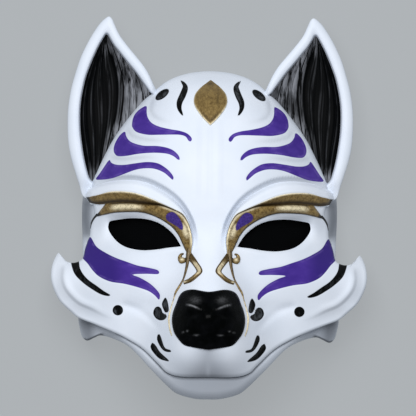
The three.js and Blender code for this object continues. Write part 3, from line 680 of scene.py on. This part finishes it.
def rubbed_gold(name, stretch, spread):
    """Gold paint brushed and rubbed over a dark base: strokes stretched one way, a tone that varies less the
    wider the spread, a painted highlight on crests, brown with painted shade in the hollows and a black
    painted shadow at the brows' outer tips. Purple enamel fills the drops on the brows."""
    material, add = surface(name)
    crest, deep, inlay = stored(add, "crest", "deep", "inlay")
    fleck = blotches(add, 0.9, 3, 0.6, stretch)
    mottle = add("Math", blotches(add, 2.4, 4, 0.6, stretch), fleck, operation="ADD")
    mottle = add("Math", mottle, 0.5, operation="MULTIPLY")
    # painted highlight: pale gold on the stored crests; the stored brown turns to painted shade and a black
    # painted shadow
    rubbed_and_highlight = add("Math", crest, add("MapRange", mottle, 0.4, 0.52, 0.6, 1.1), operation="MULTIPLY")
    enamel = layered(add, "#341F74", (add("MapRange", fleck, 0.4, 0.65), "#4A3592"))
    coat = layered(add, "#6B552D", (add("MapRange", mottle, 0.5 - spread, 0.5 + spread), "#A88D55"),
                   (add("MapRange", rubbed_and_highlight, 0.1, 0.9), "#F4E6C0"), (add("MapRange", deep, 0.1, 1), "#33250F"),
                   (add("MapRange", deep, 1.1, 2), "#08090C"), (add("MapRange", inlay, *MARK_EDGE), enamel))
    metal = add("Math", add("MapRange", inlay, *MARK_EDGE, 0.4, 0), add("MapRange", rubbed_and_highlight, 0, 1, 1, 0.3),
                operation="MULTIPLY")
    height = add("Math", mottle, 0.5, add("MapRange", inlay, -0.5, 0.3, 0, 0.35), operation="MULTIPLY_ADD")
    rough = add("MapRange", fleck, 0.3, 0.7, 0.34, 0.5)
    return finished(material, add, {"Base Color": coat, "Metallic": metal, "Roughness": rough},
                    height, 0.5, 1)


def nose_lacquer():
    """Black lacquer over a hand-modelled nose: slow waves 6 mm long, painted grey glints on the nostrils'
    edges.
    """
    material, add = surface("black_lacquer")
    worn, = stored(add, "worn")
    wave, fine = blotches(add, 6), blotches(add, 1.5, 3)
    worn = add("Math", worn, add("MapRange", fine, 0.4, 0.55, 0.5, 1), operation="MULTIPLY")
    coat = layered(add, "#020303", (add("MapRange", wave, 0.4, 0.7), "#08090B"), (worn, "#8E9094"))
    rough = add("MapRange", fine, 0.3, 0.7, 0.2, 0.3)
    return finished(material, add, {"Base Color": coat, "Roughness": rough, "Specular IOR Level": 0.035},
                    wave, 0.35, 0.8)


def gauze():
    """Stiffened black gauze: threads 0.5 mm apart, drawn at 1.2 mm so that the weave can be seen."""
    material, add = surface("black_gauze")
    thread, period = 1.2, 0.314  # millimetres between threads; the wave pattern's own length at scale 1
    waves = {"Vector": add("TexCoord", out="Object"), "Scale": period / (thread * MM)}
    weave = add("Math", *[add("TexWave", waves, bands_direction=axis, out="Fac") for axis in ("X", "Y")],
                operation="MULTIPLY")
    return finished(material, add, {"Base Color": layered(add, "#010203", (weave, "#050607")),
                                    "Roughness": add("MapRange", weave, 0, 1, 0.85, 0.95),
                                    "Specular IOR Level": 0.05}, weave, 0.4, 0.2)


WHITE, EAR_COAT, LINING = painted_resin(), ear_paint(), inner_paint()
GOLD = rubbed_gold("rubbed_gold_paint", (0.8, 1, 1), 0.1)
LEAF_GOLD = rubbed_gold("brushed_gold_paint", (1.2, 0.25, 1), 0.17)
LACQUER, GAUZE = nose_lacquer(), gauze()


# The shell

def skin_solid(slots):
    """Face skin: rings from the pole over the relief to the rounded edge, back under the flares and in."""
    loop = run(mirrored(partnered(SKIN, POLE, 0.8)), 8)
    under = lambda x, y: face(x, y) - LIP + (LIP - FIN) * ease(72, 82, np.abs(x))
    rings = [ring(loop, POLE, part, 0, relief) for part in np.linspace(0, 1, 84)[1:]]
    rings += [ring(loop, POLE, part, EDGE_ROUND * 1.02, relief) for part in np.linspace(1, 2, 44)[1:-1]]
    rings += rounded(loop, POLE, EDGE_ROUND, 5, relief)
    rings.append(ring(loop, POLE, 2, lambda x: 0.3 + FIN_TAPER * ease(81, 88, np.abs(x)), under))
    rings.append(ring(loop, POLE, 1.5, 0, under))
    rings.append(ring(loop, POLE, 1, 0, lambda x, y: face(x, y) - LIP))
    return solid("painted_shell", rings, (*POLE, height_at(relief, POLE)), (*POLE, 25), slots)


def body_solid(slots):
    """Walls: from the skin's underside over a rounded edge straight back to the rim."""
    loop = run(mirrored(partnered(WALLS, POLE, WALL_INNER)), 6)
    rings = [ring(loop, POLE, 1, 0, lambda x, y: backing(x, y) - 1)]
    rings += [ring(loop, POLE, part, BODY_ROUND * 1.02, temples) for part in np.linspace(1.02, 2, 30)[:-1]]
    rings += rounded(loop, POLE, BODY_ROUND, 8, temples)
    edge, foot = rings[-1], ring(loop, POLE, 2, 0, rim)
    rings += [edge + (foot - edge) * t for t in np.linspace(0, 1, 12)[1:]]
    rings.append(ring(loop, POLE, 1, 0, rim))
    return solid("walls", rings, (*POLE, 70), (*POLE, 0), slots)


def cavity_solid(slots, slot):
    """Hollow: the walls' outline drawn in by the wall, thicker at the temples, under the inner face."""
    inner = grown(mirrored(WALLS), -WALL)
    x, y = inner.T
    inner[:, 0] -= np.sign(x) * TEMPLE_WALL * bump(np.abs(x), y, WALL_X, -9, 12, 14)
    loop = run(partnered(inner, POLE, WALL_INNER), 3)
    top = lambda x, y: inside(x, y) - corner_fall(x, y)
    rings = [ring(loop, POLE, part, 0, top) for part in np.linspace(0, 1, 26)[1:]]
    rings += rounded(loop, POLE, 4, 5, top)
    floor_z = -10
    rings.append(ring(loop, POLE, 2, 0, lambda x, y: 0 * x + floor_z))
    return solid("hollow", rings, (*POLE, height_at(inside, POLE)), (*POLE, floor_z), slots, slot)


def eye_column(side, slots, slot):
    """Straight column through the wall with the outline of the eye opening."""
    pole = (EYE_MIDDLE[0] * side, EYE_MIDDLE[1])
    loop = run(partnered([(x * side, y) for x, y in EYE], pole, 0.5), 6)
    top, bottom = 110, 5
    rings = [ring(loop, pole, 2, 0, lambda x, y: 0 * x + z) for z in (top, bottom)]
    return solid("eye", rings, (*pole, top), (*pole, bottom), slots, slot)


def marks(mesh):
    """Stores the painted marks as distances in millimetres from their outlines, negative inside, the grey
    painted shade, and where the whiter painted highlight lies."""
    p = places(mesh)
    x, y, z = np.abs(p[:, 0]), p[:, 1], p[:, 2]
    depth = face(x, y) - z
    front = depth < STEP + 0.6
    purple = np.min([outline_gap(x, y, outline) for outline in PURPLE], axis=0)
    cx, cy, radius = CHEEK_DOT
    curl, place = beside(x, y, FOREHEAD_CURL, FAR, 8)
    # painted shadow: a black line along the step at the temple, thinning downwards
    shadow_line, down = beside(x, y, TEMPLE_SHADOW, FAR)
    black = np.min([outline_gap(x, y, outline) for outline in WHISKERS] + [
        np.maximum(outline_gap(x, y, FLARE_MARK), -0.7), np.hypot(x - cx, y - cy) - radius, crown_dot(x, y),
        np.abs(curl) - 2.0 * np.sin(np.pi * np.clip(place, 0.01, 0.99)) ** 0.6,
        np.where(down < 1, np.abs(shadow_line) - 0.75 * (1 - 0.6 * down), FAR)], axis=0)
    edge = skin_edge(x, y)
    near = (edge < 0.2) & (relief(x, y) - z < 2.3)
    # painted shadow: a dark line along the face's edge where the walls meet it
    edge_shadow_gap = np.maximum(edge, 0) + FAR * ease(-62, -50, y) + 0.45 * ease(26, 42, x) * ease(76, 66, x)
    # stored: painted shade in the carving and on the walls, a painted highlight on the flare's tip and below
    # the eye, and painted shade on the purple's outer part
    store(mesh, purple=np.where(front, purple, FAR), black=np.where(front, black, FAR),
          shade=ease(50, 62, x - 8 * (p[:, 0] > 0)) * (y < -15),
          hollow=np.where(near, front_painted_shade(x, y), side_painted_shade(x, y, depth)),
          fresh=bump(x, y, 96, -35, 7, 12) + bump(x, y, 66, -18.5, 4, 5),
          rim=np.where(near | (depth > 9), FAR, edge_shadow_gap))


def front_painted_shade(x, y):
    """Grey painted shade in the carving of the face: in the groove over the brow, outside the flare's
    lip, in the folds, over the mouth and the eye openings and down the forehead."""
    gap, place = beside(x, y, PAD_TOP, steps=8)
    shading = 0.37 * ease(3.2, 2.2, -gap) * (gap < 1) * ease(0, 0.16, place) * ease(1, 0.75, place)
    gap, place = beside(x, y, FLARE_PAD, 12)
    out = 0.14 * ease(-0.6, 0.8, gap) * ease(7, 1.5, gap)
    shading = np.maximum(shading, out * ease(0, 0.14, place) * ease(1, 0.7, place))
    for fold in PAD_FOLDS + [CROWN_FOLD]:
        shading = np.maximum(shading, 0.19 * stroke(x, y, fold, 1.3, *FOLD_ENDS))
    lip = np.interp(y, MOUTH_SHADE[:, 0], MOUTH_SHADE[:, 1])
    lip = lip * np.exp(-(x / np.interp(y, MOUTH_SHADE[:, 0], MOUTH_SHADE[:, 2])) ** 2)
    shading = np.maximum(shading, lip * (1 - 0.2 * bump(x, y, 0, -102, 1.5, 5)))
    # painted shade on the bevel over each eye opening
    lid = ease(LID + 1.2, LID - 0.4, outline_gap(x, y, EYE, 6)) * ease(-10, -6, y - 0.2 * np.abs(x - 52))
    shading = np.maximum(shading, 0.34 * lid * ease(24, 36, x))
    # painted shade along faint ridges down the forehead
    ridges = 0.045 * ease(0.9, 0.3, np.abs(x - 6.8) / 3) + 0.03 * ease(0.9, 0.2, np.abs(x - 1.0) / 1.8)
    return np.maximum(shading, ridges * ease(64, 44, y) * ease(2, 14, y))


def side_painted_shade(x, y, depth):
    """The same painted shade on the walls, where they lie in the shade: below the mouth, under the chin, over
    the lower corners and along their rounded edge, and in the temple grooves."""
    shading = 0.34 * ease(1.2, 3.6, depth) * (depth < 9) * ease(-90, -116, y) * ease(60, 30, x)
    mouth = 0.7 * ease(3.6, 0.5, skin_edge(x, y)) * (depth < 9) * ease(-94, -100, y) * ease(34, 20, x)
    shading = np.maximum(shading, mouth)
    # painted shade over the lower corners, under the flares
    corner = ease(-63, -68, y) * np.interp(x, (44, 62, 70, 75), (0, 0.33, 0.45, 0.97)) * ease(22, 12, depth)
    shading = np.maximum(shading, corner * (1 - 0.2 * ease(4, 9, depth)))
    # painted shadow along the lower edge of the corner tab
    gap, _ = beside(x, y, TAB_EDGE)
    below = depth - STEP - corner_fall(x, y)
    shading = np.maximum(shading, 1.25 * np.exp(-(gap / 1.5) ** 2) * ease(4, 6, depth) * ease(6, 3.5, below))
    # painted shade in the temple grooves
    gap, _ = beside(x, y, TEMPLE_GROOVE)
    return np.maximum(shading, 0.85 * np.exp(-(gap / 5.2) ** 2) * (depth > 1.5) * (depth < 12))


def ear(side):
    """Ear: rings from the floor of the hollow up over the rolled rim and down the back. Hair runs between
    the hollow's two sides, gathered at the tip: ridges are |sin| of pi times the count of strands."""
    loop = run(EAR, 8)
    loop[:, [0, 2]] *= side
    pole = (EAR_MIDDLE[0] * side, EAR_MIDDLE[1])

    def crest(x, y):
        sunk = 7 * bump(np.abs(x), y, 31, 69, 5, 6) + 8 * bump(np.abs(x), y, 75, 7, 7, 9)
        return EAR_RIM_Z - EAR_LEAN * (y - 20) - EAR_TURN * (np.abs(x) - 60) - sunk

    back = -EAR_DEEP - EAR_THICK
    rows = run([
        (0, -EAR_DEEP), (0.4, 1 - EAR_DEEP), (0.75, 3.5 - EAR_DEEP), (1, -4), (1.13, -0.7), (1.5, 0.4),
        (1.86, -0.6), (2, -2.8), (1.8, -EAR_ROLL), (1, -EAR_ROLL - 4), (0.5, back + 0.5),
        (0, back)], 9, False)
    rings = [ring(loop, pole, min(max(part, 0.01), 2.0), 0, lambda x, y: crest(x, y) + rise)
             for part, rise in rows[1:-1]]
    turn = int(np.argmax(rows[:, 0]))
    for made in rings[:turn - 1]:
        _, count = strands(made[:, 0], made[:, 1])
        gap = outline_gap(np.abs(made[:, 0]), made[:, 1], [p[2:] for p in EAR], 6)
        made[:, 2] += (np.abs(np.sin(np.pi * count)) - 0.5) * EAR_HAIR_RISE * ease(0.2, -2.5, gap)
    return solid("ear_right" if side > 0 else "ear_left", rings, (*pole, crest(*pole) - EAR_DEEP),
                 (*pole, crest(*pole) + back), [EAR_COAT, LINING])


def strands(x, y):
    """Share of the way across the hollow, and a count of strands, of uneven width and slightly curved."""
    inner, outer = along(EAR_HAIR, y, 1), along(EAR_HAIR, y, 2)
    across = (np.abs(x) - inner) / (outer - inner)
    return across, across * 8.4 + 0.4 * np.sin(across * 6 + 0.6) + 0.35 * np.sin(y * 0.055 + across * 8)


def ear_marks(mesh):
    """Stores the black lining's distance, the count of strands, and how high and how strong the grey lies:
    broad strokes by the crown, at the tip and at the foot, thin faint lines elsewhere."""
    p = places(mesh)
    x, y = np.abs(p[:, 0]), p[:, 1]
    normals = np.empty(len(mesh.vertices) * 3, dtype=np.float32)
    mesh.vertices.foreach_get("normal", normals)
    across, count = strands(x, y)
    gap = outline_gap(x, y, [q[2:] for q in EAR])
    reach = 0.46 + 0.2 * ease(62, 42, y)
    broad = np.maximum(ease(reach, reach - 0.3, across), 0.8 * ease(92, 102, y) * ease(0.9, 0.4, across))
    broad = np.maximum(broad, 0.75 * ease(30, 18, y))
    store(mesh, lining=np.where(normals[2::3] < 0, FAR, gap), strand=count, cut=0.84 - 0.5 * broad,
          brushed=0.12 + 0.88 * broad)


# Relief pieces on the face

BROW_STEPS = 10
BROW_SHARE = np.arange(12 * BROW_STEPS + 1) / (12 * BROW_STEPS)


def ridge(name, lines, material, root, taper, side):
    """Closed band along the brow: lines run side by side, each with its own rise above the face, with
    smooth rows between them; it thins out at both ends."""
    long = [run(points, BROW_STEPS, False) for points, _ in lines]
    count = len(long[0])
    shares = np.arange(count) / (count - 1)
    thin = np.minimum(1, np.minimum(0.25 + shares / taper[0], 0.1 + (1 - shares) / taper[1]))
    stack = np.stack([np.column_stack([line, rise + 0 * shares]) for line, (_, rise) in zip(long, lines)])
    across = run(stack.reshape(len(lines), -1), 6, False).reshape(-1, count, 3)
    rings = []
    for i in range(count):
        rows = across[:, i]
        x, y = rows[:, 0] * side, rows[:, 1]
        top = np.column_stack([x, y, face(x, y) + rows[:, 2] * thin[i]])
        low = top[::-1].copy()
        low[:, 2] = face(low[:, 0], low[:, 1]) - root
        rings.append(np.vstack([top, low[[0, len(low) // 2, -1]]]))
    return solid(name, rings, rings[0].mean(0), rings[-1].mean(0), [material])


def gold_marks(mesh, deep, crest, ends):
    """Stores where the gold carries a painted highlight and where it stays brown with painted shade, from
    soft lines along the brow; a black painted shadow towards the outer end, and brown round the enamel drop."""
    p = places(mesh)
    x, y = np.abs(p[:, 0]), p[:, 1]
    dark, bright = [np.max([stroke(x, y, *row) for row in rows], axis=0) for rows in (deep, crest)]
    inlay = outline_gap(x, y, DROP, 3)
    dark = np.maximum(dark, 0.6 * ease(0.6, 0.2, inlay) * (inlay > 0))
    # painted shadow: black towards the brow's outer end
    store(mesh, inlay=inlay, deep=np.maximum(dark, 2 * ease(*ends, x - 0.5 * y)), crest=bright)


def halfway(a, b, share):
    """Line between two lines with matching points, at a share of the way."""
    return [(p[0] + (q[0] - p[0]) * share, p[1] + (q[1] - p[1]) * share) for p, q in zip(a, b)]


def part_at(share):
    """Turns a share of the way from the pole to the edge into the part that ring() takes."""
    return share / INNER if share <= INNER else 1 + (share - INNER) / (1 - INNER)


def forehead_leaf():
    """Leaf: a plate with a slightly swelling face, 1 - share to the 6th power, over a short wall. Its lower
    edges carry a painted highlight with a line of painted shade inside, and its face has two dark streaks."""
    loop = run(partnered(mirrored(LEAF), LEAF_MIDDLE, INNER), 8)
    edge, swell, root = LEAF_RISE - 0.5, 0.5, 1.5
    rings = [ring(loop, LEAF_MIDDLE, part_at(share), 0,
                  lambda x, y: relief(x, y) + edge + swell * (1 - share ** 6))
             for share in np.linspace(0, 1, 15)[1:]]
    rings.append(ring(loop, LEAF_MIDDLE, 2, 0, lambda x, y: relief(x, y) - root))
    top = height_at(relief, LEAF_MIDDLE)
    piece = solid("forehead_leaf", rings, (*LEAF_MIDDLE, top + edge + swell), (*LEAF_MIDDLE, top - root - 3),
                  [LEAF_GOLD])
    x, y, _ = places(piece.data).T
    gap = outline_gap(x, y, mirrored(LEAF))
    # painted highlight on the lower edges, with a line of painted shade inside
    bevel = 1.2 * np.exp(-((gap + 1.8) / 0.6) ** 2) * ease(63, 57, y)
    streaks = bump(x, y, 4.6, 68.5, 0.6, 4.5) + bump(x, y, -0.5, 78, 2.4, 1.2)
    store(piece.data, crest=ease(-1.0, -0.3, gap) * (0.5 + 0.4 * ease(66, 60, y)) * ease(80, 72, y),
          deep=0.55 * np.maximum(bevel, streaks) + 0.2, inlay=FAR)
    return piece


def wire(name, line, radii, material, side):
    """Half-sunk round wire along a line on the relief; its radius runs through the radii given."""
    path = run(line, 8, False)
    share = np.arange(len(path)) / (len(path) - 1)
    radius = np.interp(share, np.linspace(0, 1, len(radii)), radii)
    x, y = path[:, 0] * side, path[:, 1]
    centre = np.column_stack([x, y, relief(x, y) + 0.15 * radius])
    ahead = np.gradient(centre, axis=0)
    ahead /= np.linalg.norm(ahead, axis=1)[:, None]
    across = np.cross(ahead, (0, 0, 1.0))
    across /= np.linalg.norm(across, axis=1)[:, None]
    up = np.cross(across, ahead)
    turn = np.linspace(0, 2 * np.pi, 15)[:-1]
    circle = np.cos(turn)[:, None, None] * across + np.sin(turn)[:, None, None] * up * 0.7
    rings = list(np.swapaxes(centre + circle * radius[:, None], 0, 1))
    first = centre[0] - ahead[0] * radius[0] * 0.5
    last = centre[-1] + ahead[-1] * radius[-1] * 0.5
    return solid(name, rings, first, last, [material])


def wire_marks(mesh, name):
    """Gold line work: pale where it stands high, brown painted shade at its foot. The curl has a painted
    highlight in its bowl, the branch is pale to its elbow, a painted highlight at its tip and brown between;
    the knot and the tail's middle are dark."""
    p = places(mesh)
    x, y = np.abs(p[:, 0]), p[:, 1]
    # painted shade at the wire's foot, where it meets the face
    low = 1 - ease(0.2, 1.5, p[:, 2] - relief(p[:, 0], y))
    fleck = np.sin(y * 2.1 + x) * ease(-50, -53, y) * ease(-63, -60, y)
    # painted highlights in the curl's bowl and at the branch's tip
    bowl, tip = bump(x, y, 17, -32.1, 1.3, 1.2), bump(x, y, 15, -46.6, 1.5, 1.2)
    elbow = 0.3 * ease(-40, -43, y) * (1 - tip)
    knot = 0.8 * ease(-21, -28, y) * ease(-52, -46, y)
    dark, pale = {
        "curl": (np.maximum(0.95 * low, 0.85 * ease(15.9, 14.4, x) + 0.3) * (1 - bowl), bowl),
        "branch": (0.25 + 0.5 * ease(-35, -31, y) + elbow, 0.7 * ease(-32, -35, y) * ease(-43, -40, y) + tip),
        "branch_outer": (0.8, 0.1), "branch_inner": (0.8, 0.1),
        "tail": (np.max([knot, 0.9 * fleck, 0.5 * low], axis=0), 0.15 + 0.7 * ease(-52, -62, y))}[name]
    store(mesh, crest=pale, deep=dark, inlay=FAR)


def nose():
    """Nose: swelling above the muzzle by 1 - share to the power 2.2, level across the top, with two nostril
    hollows and a step at its foot. The rims of the nostrils and a few spots carry painted grey glints."""
    loop = run(mirrored(partnered(NOSE, NOSE_MIDDLE, INNER)), 10)

    def top(x, y, share):
        a = np.abs(x)
        z = face(x, y) + NOSE_STEP + (NOSE_RISE - NOSE_STEP) * (1 - share ** 2.2)
        z -= 0.14 * np.maximum(0, -60 - y) * (1 - share ** 3)
        return z + bumps(a, y, NOSE_BUMPS) + stroke(a, y, NOSTRIL_RIM, 1.2, (0, 0.15), (0.85, 1))

    rings = [ring(loop, NOSE_MIDDLE, part_at(share), 0, lambda x, y: top(x, y, share))
             for share in np.linspace(0, 0.97, 30)[1:]]
    rings.append(ring(loop, NOSE_MIDDLE, 2, 0.2, lambda x, y: top(x, y, 1) - 0.5))
    rings.append(ring(loop, NOSE_MIDDLE, 2, 0, lambda x, y: face(x, y) + NOSE_STEP * 0.4))
    rings.append(ring(loop, NOSE_MIDDLE, 2, 0, lambda x, y: face(x, y) - 2.4))
    peak = height_at(lambda x, y: top(x, y, 0), NOSE_MIDDLE)
    piece = solid("nose", rings, (*NOSE_MIDDLE, peak), (*NOSE_MIDDLE, 100), [LACQUER])
    x, y, _ = places(piece.data).T
    x = np.abs(x)
    # painted glints: grey spots and lines on the nostrils' rims
    rubbed_and_highlight = [strength * bump(x, y, *where) for strength, *where in NOSE_GLINTS]
    rubbed_and_highlight.append(0.8 * stroke(x, y, NOSTRIL_RIM, 0.55, (0, 0.3), (0.5, 1)))
    store(piece.data, worn=np.max(rubbed_and_highlight, axis=0))
    return piece


shell_slots = [WHITE, LINING]
shell = combined(skin_solid(shell_slots), "UNION", body_solid(shell_slots))
shell = combined(shell, "DIFFERENCE", cavity_solid(shell_slots, 1), eye_column(1, shell_slots, 1),
                 eye_column(-1, shell_slots, 1))
marks(shell.data)
keep(smooth(shell), "mask_shell", "mask_shell")

for side in (1, -1):
    hand = "right" if side > 0 else "left"
    piece = combined(ear(side), "DIFFERENCE", cavity_solid([EAR_COAT, LINING], 1))
    ear_marks(piece.data)
    keep(smooth(piece, 50), "mask_shell", "mask_shell")

    fold = partial(halfway, GOLD_TOP, GOLD_FOLD)
    lid = partial(halfway, LOWER_TOP, LOWER_FOOT)
    foot = [(74.6, 1.6), (70, 0.6)] + halfway(GOLD_FOLD, LOWER_FOOT, 0.6)[2:]
    pad = ridge("brow_" + hand, [
        (PAD_TOP, PAD_EDGE), (halfway(PAD_TOP, GOLD_TOP, 0.35), PAD_RISE * 0.6),
        (halfway(PAD_TOP, GOLD_TOP, 0.75), PAD_RISE * 0.98), (GOLD_TOP, PAD_RISE),
        (GOLD_FOLD, FOLD_RISE - 0.8), (foot, -2.0)], WHITE, PAD_ROOT, (0.05, 0.2), side)
    # painted highlight, whiter, over the outer part of the brow pad
    store(pad.data, purple=FAR, black=FAR, rim=FAR, shade=0, hollow=0,
          fresh=0.9 * ease(28, 48, np.abs(places(pad.data)[:, 0])))
    keep(smooth(pad), "mask_shell", "mask_shell")

    upper = ridge("gold_brow_" + hand, [
        (fold(-0.04), PAD_RISE - 0.1), (fold(0.04), PAD_RISE + 0.7), (fold(0.16), PAD_RISE + 0.1),
        (fold(0.5), PAD_RISE * 0.72), (GOLD_FOLD, FOLD_RISE)], GOLD, 1.0, (0.06, 0.3), side)
    gold_marks(upper.data, [(fold(0.85), 1.6, (0, 0.02), (0.5, 0.7))],
               [(GOLD_TOP, 0.7, (0.08, 0.2), (0.98, 1)), (fold(0.5), 1.6, (0.6, 0.8), (0.9, 1))],
               (71.8, 74.2))
    keep(smooth(upper), "mask_shell", "mask_shell")

    # the lobe over the eye rises to the pad's height as it turns down to the corner
    turned = lambda before, after: np.interp(BROW_SHARE, (0.4, 0.6), (before, after))
    lower = ridge("gold_lid_" + hand, [
        (LOWER_TOP, turned(FOLD_RISE * 0.9, PAD_RISE + 0.2)),
        (lid(0.1), turned(LOBE_RISE * 0.6, PAD_RISE + 0.5)),
        (lid(0.32), turned(LOBE_RISE * 0.95, PAD_RISE - 0.3)), (lid(0.6), LOBE_RISE),
        (lid(0.9), FOOT_RISE + 1), (LOWER_FOOT, FOOT_RISE)], GOLD, 1.0, (0.05, 0.15), side)
    gold_marks(lower.data, [(LOWER_TOP, 0.9, (0.02, 0.1), (0.6, 0.9)), (LOWER_FOOT, 0.7, (0, 0.1), (0.9, 1))],
               [(lid(0.42), 1.9, (0.06, 0.16), (0.28, 0.42)), (lid(0.06), 1.0, (0.45, 0.55), (0.9, 1)),
                (lid(0.4), 1.8, (0.68, 0.74), (0.8, 0.9))], (69.5, 73))
    keep(smooth(lower), "mask_shell", "mask_shell")

    for name, line, radii in WIRES:
        made = wire("gold_" + name + "_" + hand, line, radii, GOLD, side)
        wire_marks(made.data, name)
        keep(smooth(made, 60), "mask_shell", "mask_shell")

keep(smooth(forehead_leaf(), 30), "mask_shell", "mask_shell")
keep(smooth(nose(), 60), "mask_shell", "mask_shell")

for name in ("eye_gauze_right", "eye_gauze_left"):
    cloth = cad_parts[name]
    cloth.data.materials.clear()
    cloth.data.materials.append(GAUZE)


# Floor, light and camera

FLOOR_GLOW = 0.8
FLOOR_HALF = 1.6
FLOOR_CELLS = 40


def floor():
    """Wide level board painted pale grey, with almost no shine, lit a little from within so that shadows on
    it stay soft."""
    row = FLOOR_CELLS + 1
    u, v = np.meshgrid(*[np.linspace(-FLOOR_HALF, FLOOR_HALF, row)] * 2)
    mesh = bpy.data.meshes.new("floor")
    points = np.column_stack([u.ravel(), v.ravel(), np.full(u.size, -0.2 * MM)])
    i = (np.arange(FLOOR_CELLS)[:, None] * row + np.arange(FLOOR_CELLS)).ravel()
    mesh.from_pydata(points.tolist(), [], np.column_stack([i, i + 1, i + row + 1, i + row]).tolist())
    material, add = surface("pale_grey_board")
    mesh.materials.append(finished(material, add, {
        "Base Color": layered(add, "#505355", (blotches(add, 60), "#525557")), "Roughness": 0.9,
        "Specular IOR Level": 0.2, "Emission Color": linear("#AEB2B5"), "Emission Strength": FLOOR_GLOW}))
    piece = bpy.data.objects.new("floor", mesh)
    bpy.context.scene.collection.objects.link(piece)


def lamp(name, place, aim, size, watts):
    """Square soft light that faces a point."""
    data = bpy.data.lights.new(name, "AREA")
    data.size = size
    data.energy = watts
    piece = bpy.data.objects.new(name, data)
    piece.location = place
    direction = np.array(aim) - np.array(place)
    piece.rotation_euler = Vector(direction).to_track_quat("-Z", "Y").to_euler()
    bpy.context.scene.collection.objects.link(piece)


floor()
lamp("key", place=(-0.1, 0.56, 1.55), aim=(0, 0, 0.04), size=1.0, watts=24.5)

world = bpy.data.worlds.new("studio")
world.use_nodes = True
world.node_tree.nodes["Background"].inputs[0].default_value = linear("#E8ECF2")
world.node_tree.nodes["Background"].inputs[1].default_value = 0.3
bpy.context.scene.world = world
bpy.context.scene.view_settings.view_transform = "Standard"

# The camera looks straight down from REACH metres above the face and sees WIDE metres across.
REACH = 11.0
WIDE = 0.2613
SENSOR = 36
TURN = 0.0092
camera = bpy.data.cameras.new("camera")
camera.sensor_width = SENSOR
camera.lens = SENSOR * REACH / WIDE
camera.clip_start = 0.5
camera.clip_end = 40
viewer = bpy.data.objects.new("camera", camera)
viewer.location = (-0.97 * MM, 0, REACH + 0.04)
viewer.rotation_euler = (0, 0, TURN)
bpy.context.scene.collection.objects.link(viewer)
bpy.context.scene.camera = viewer

bpy.context.view_layer.update()
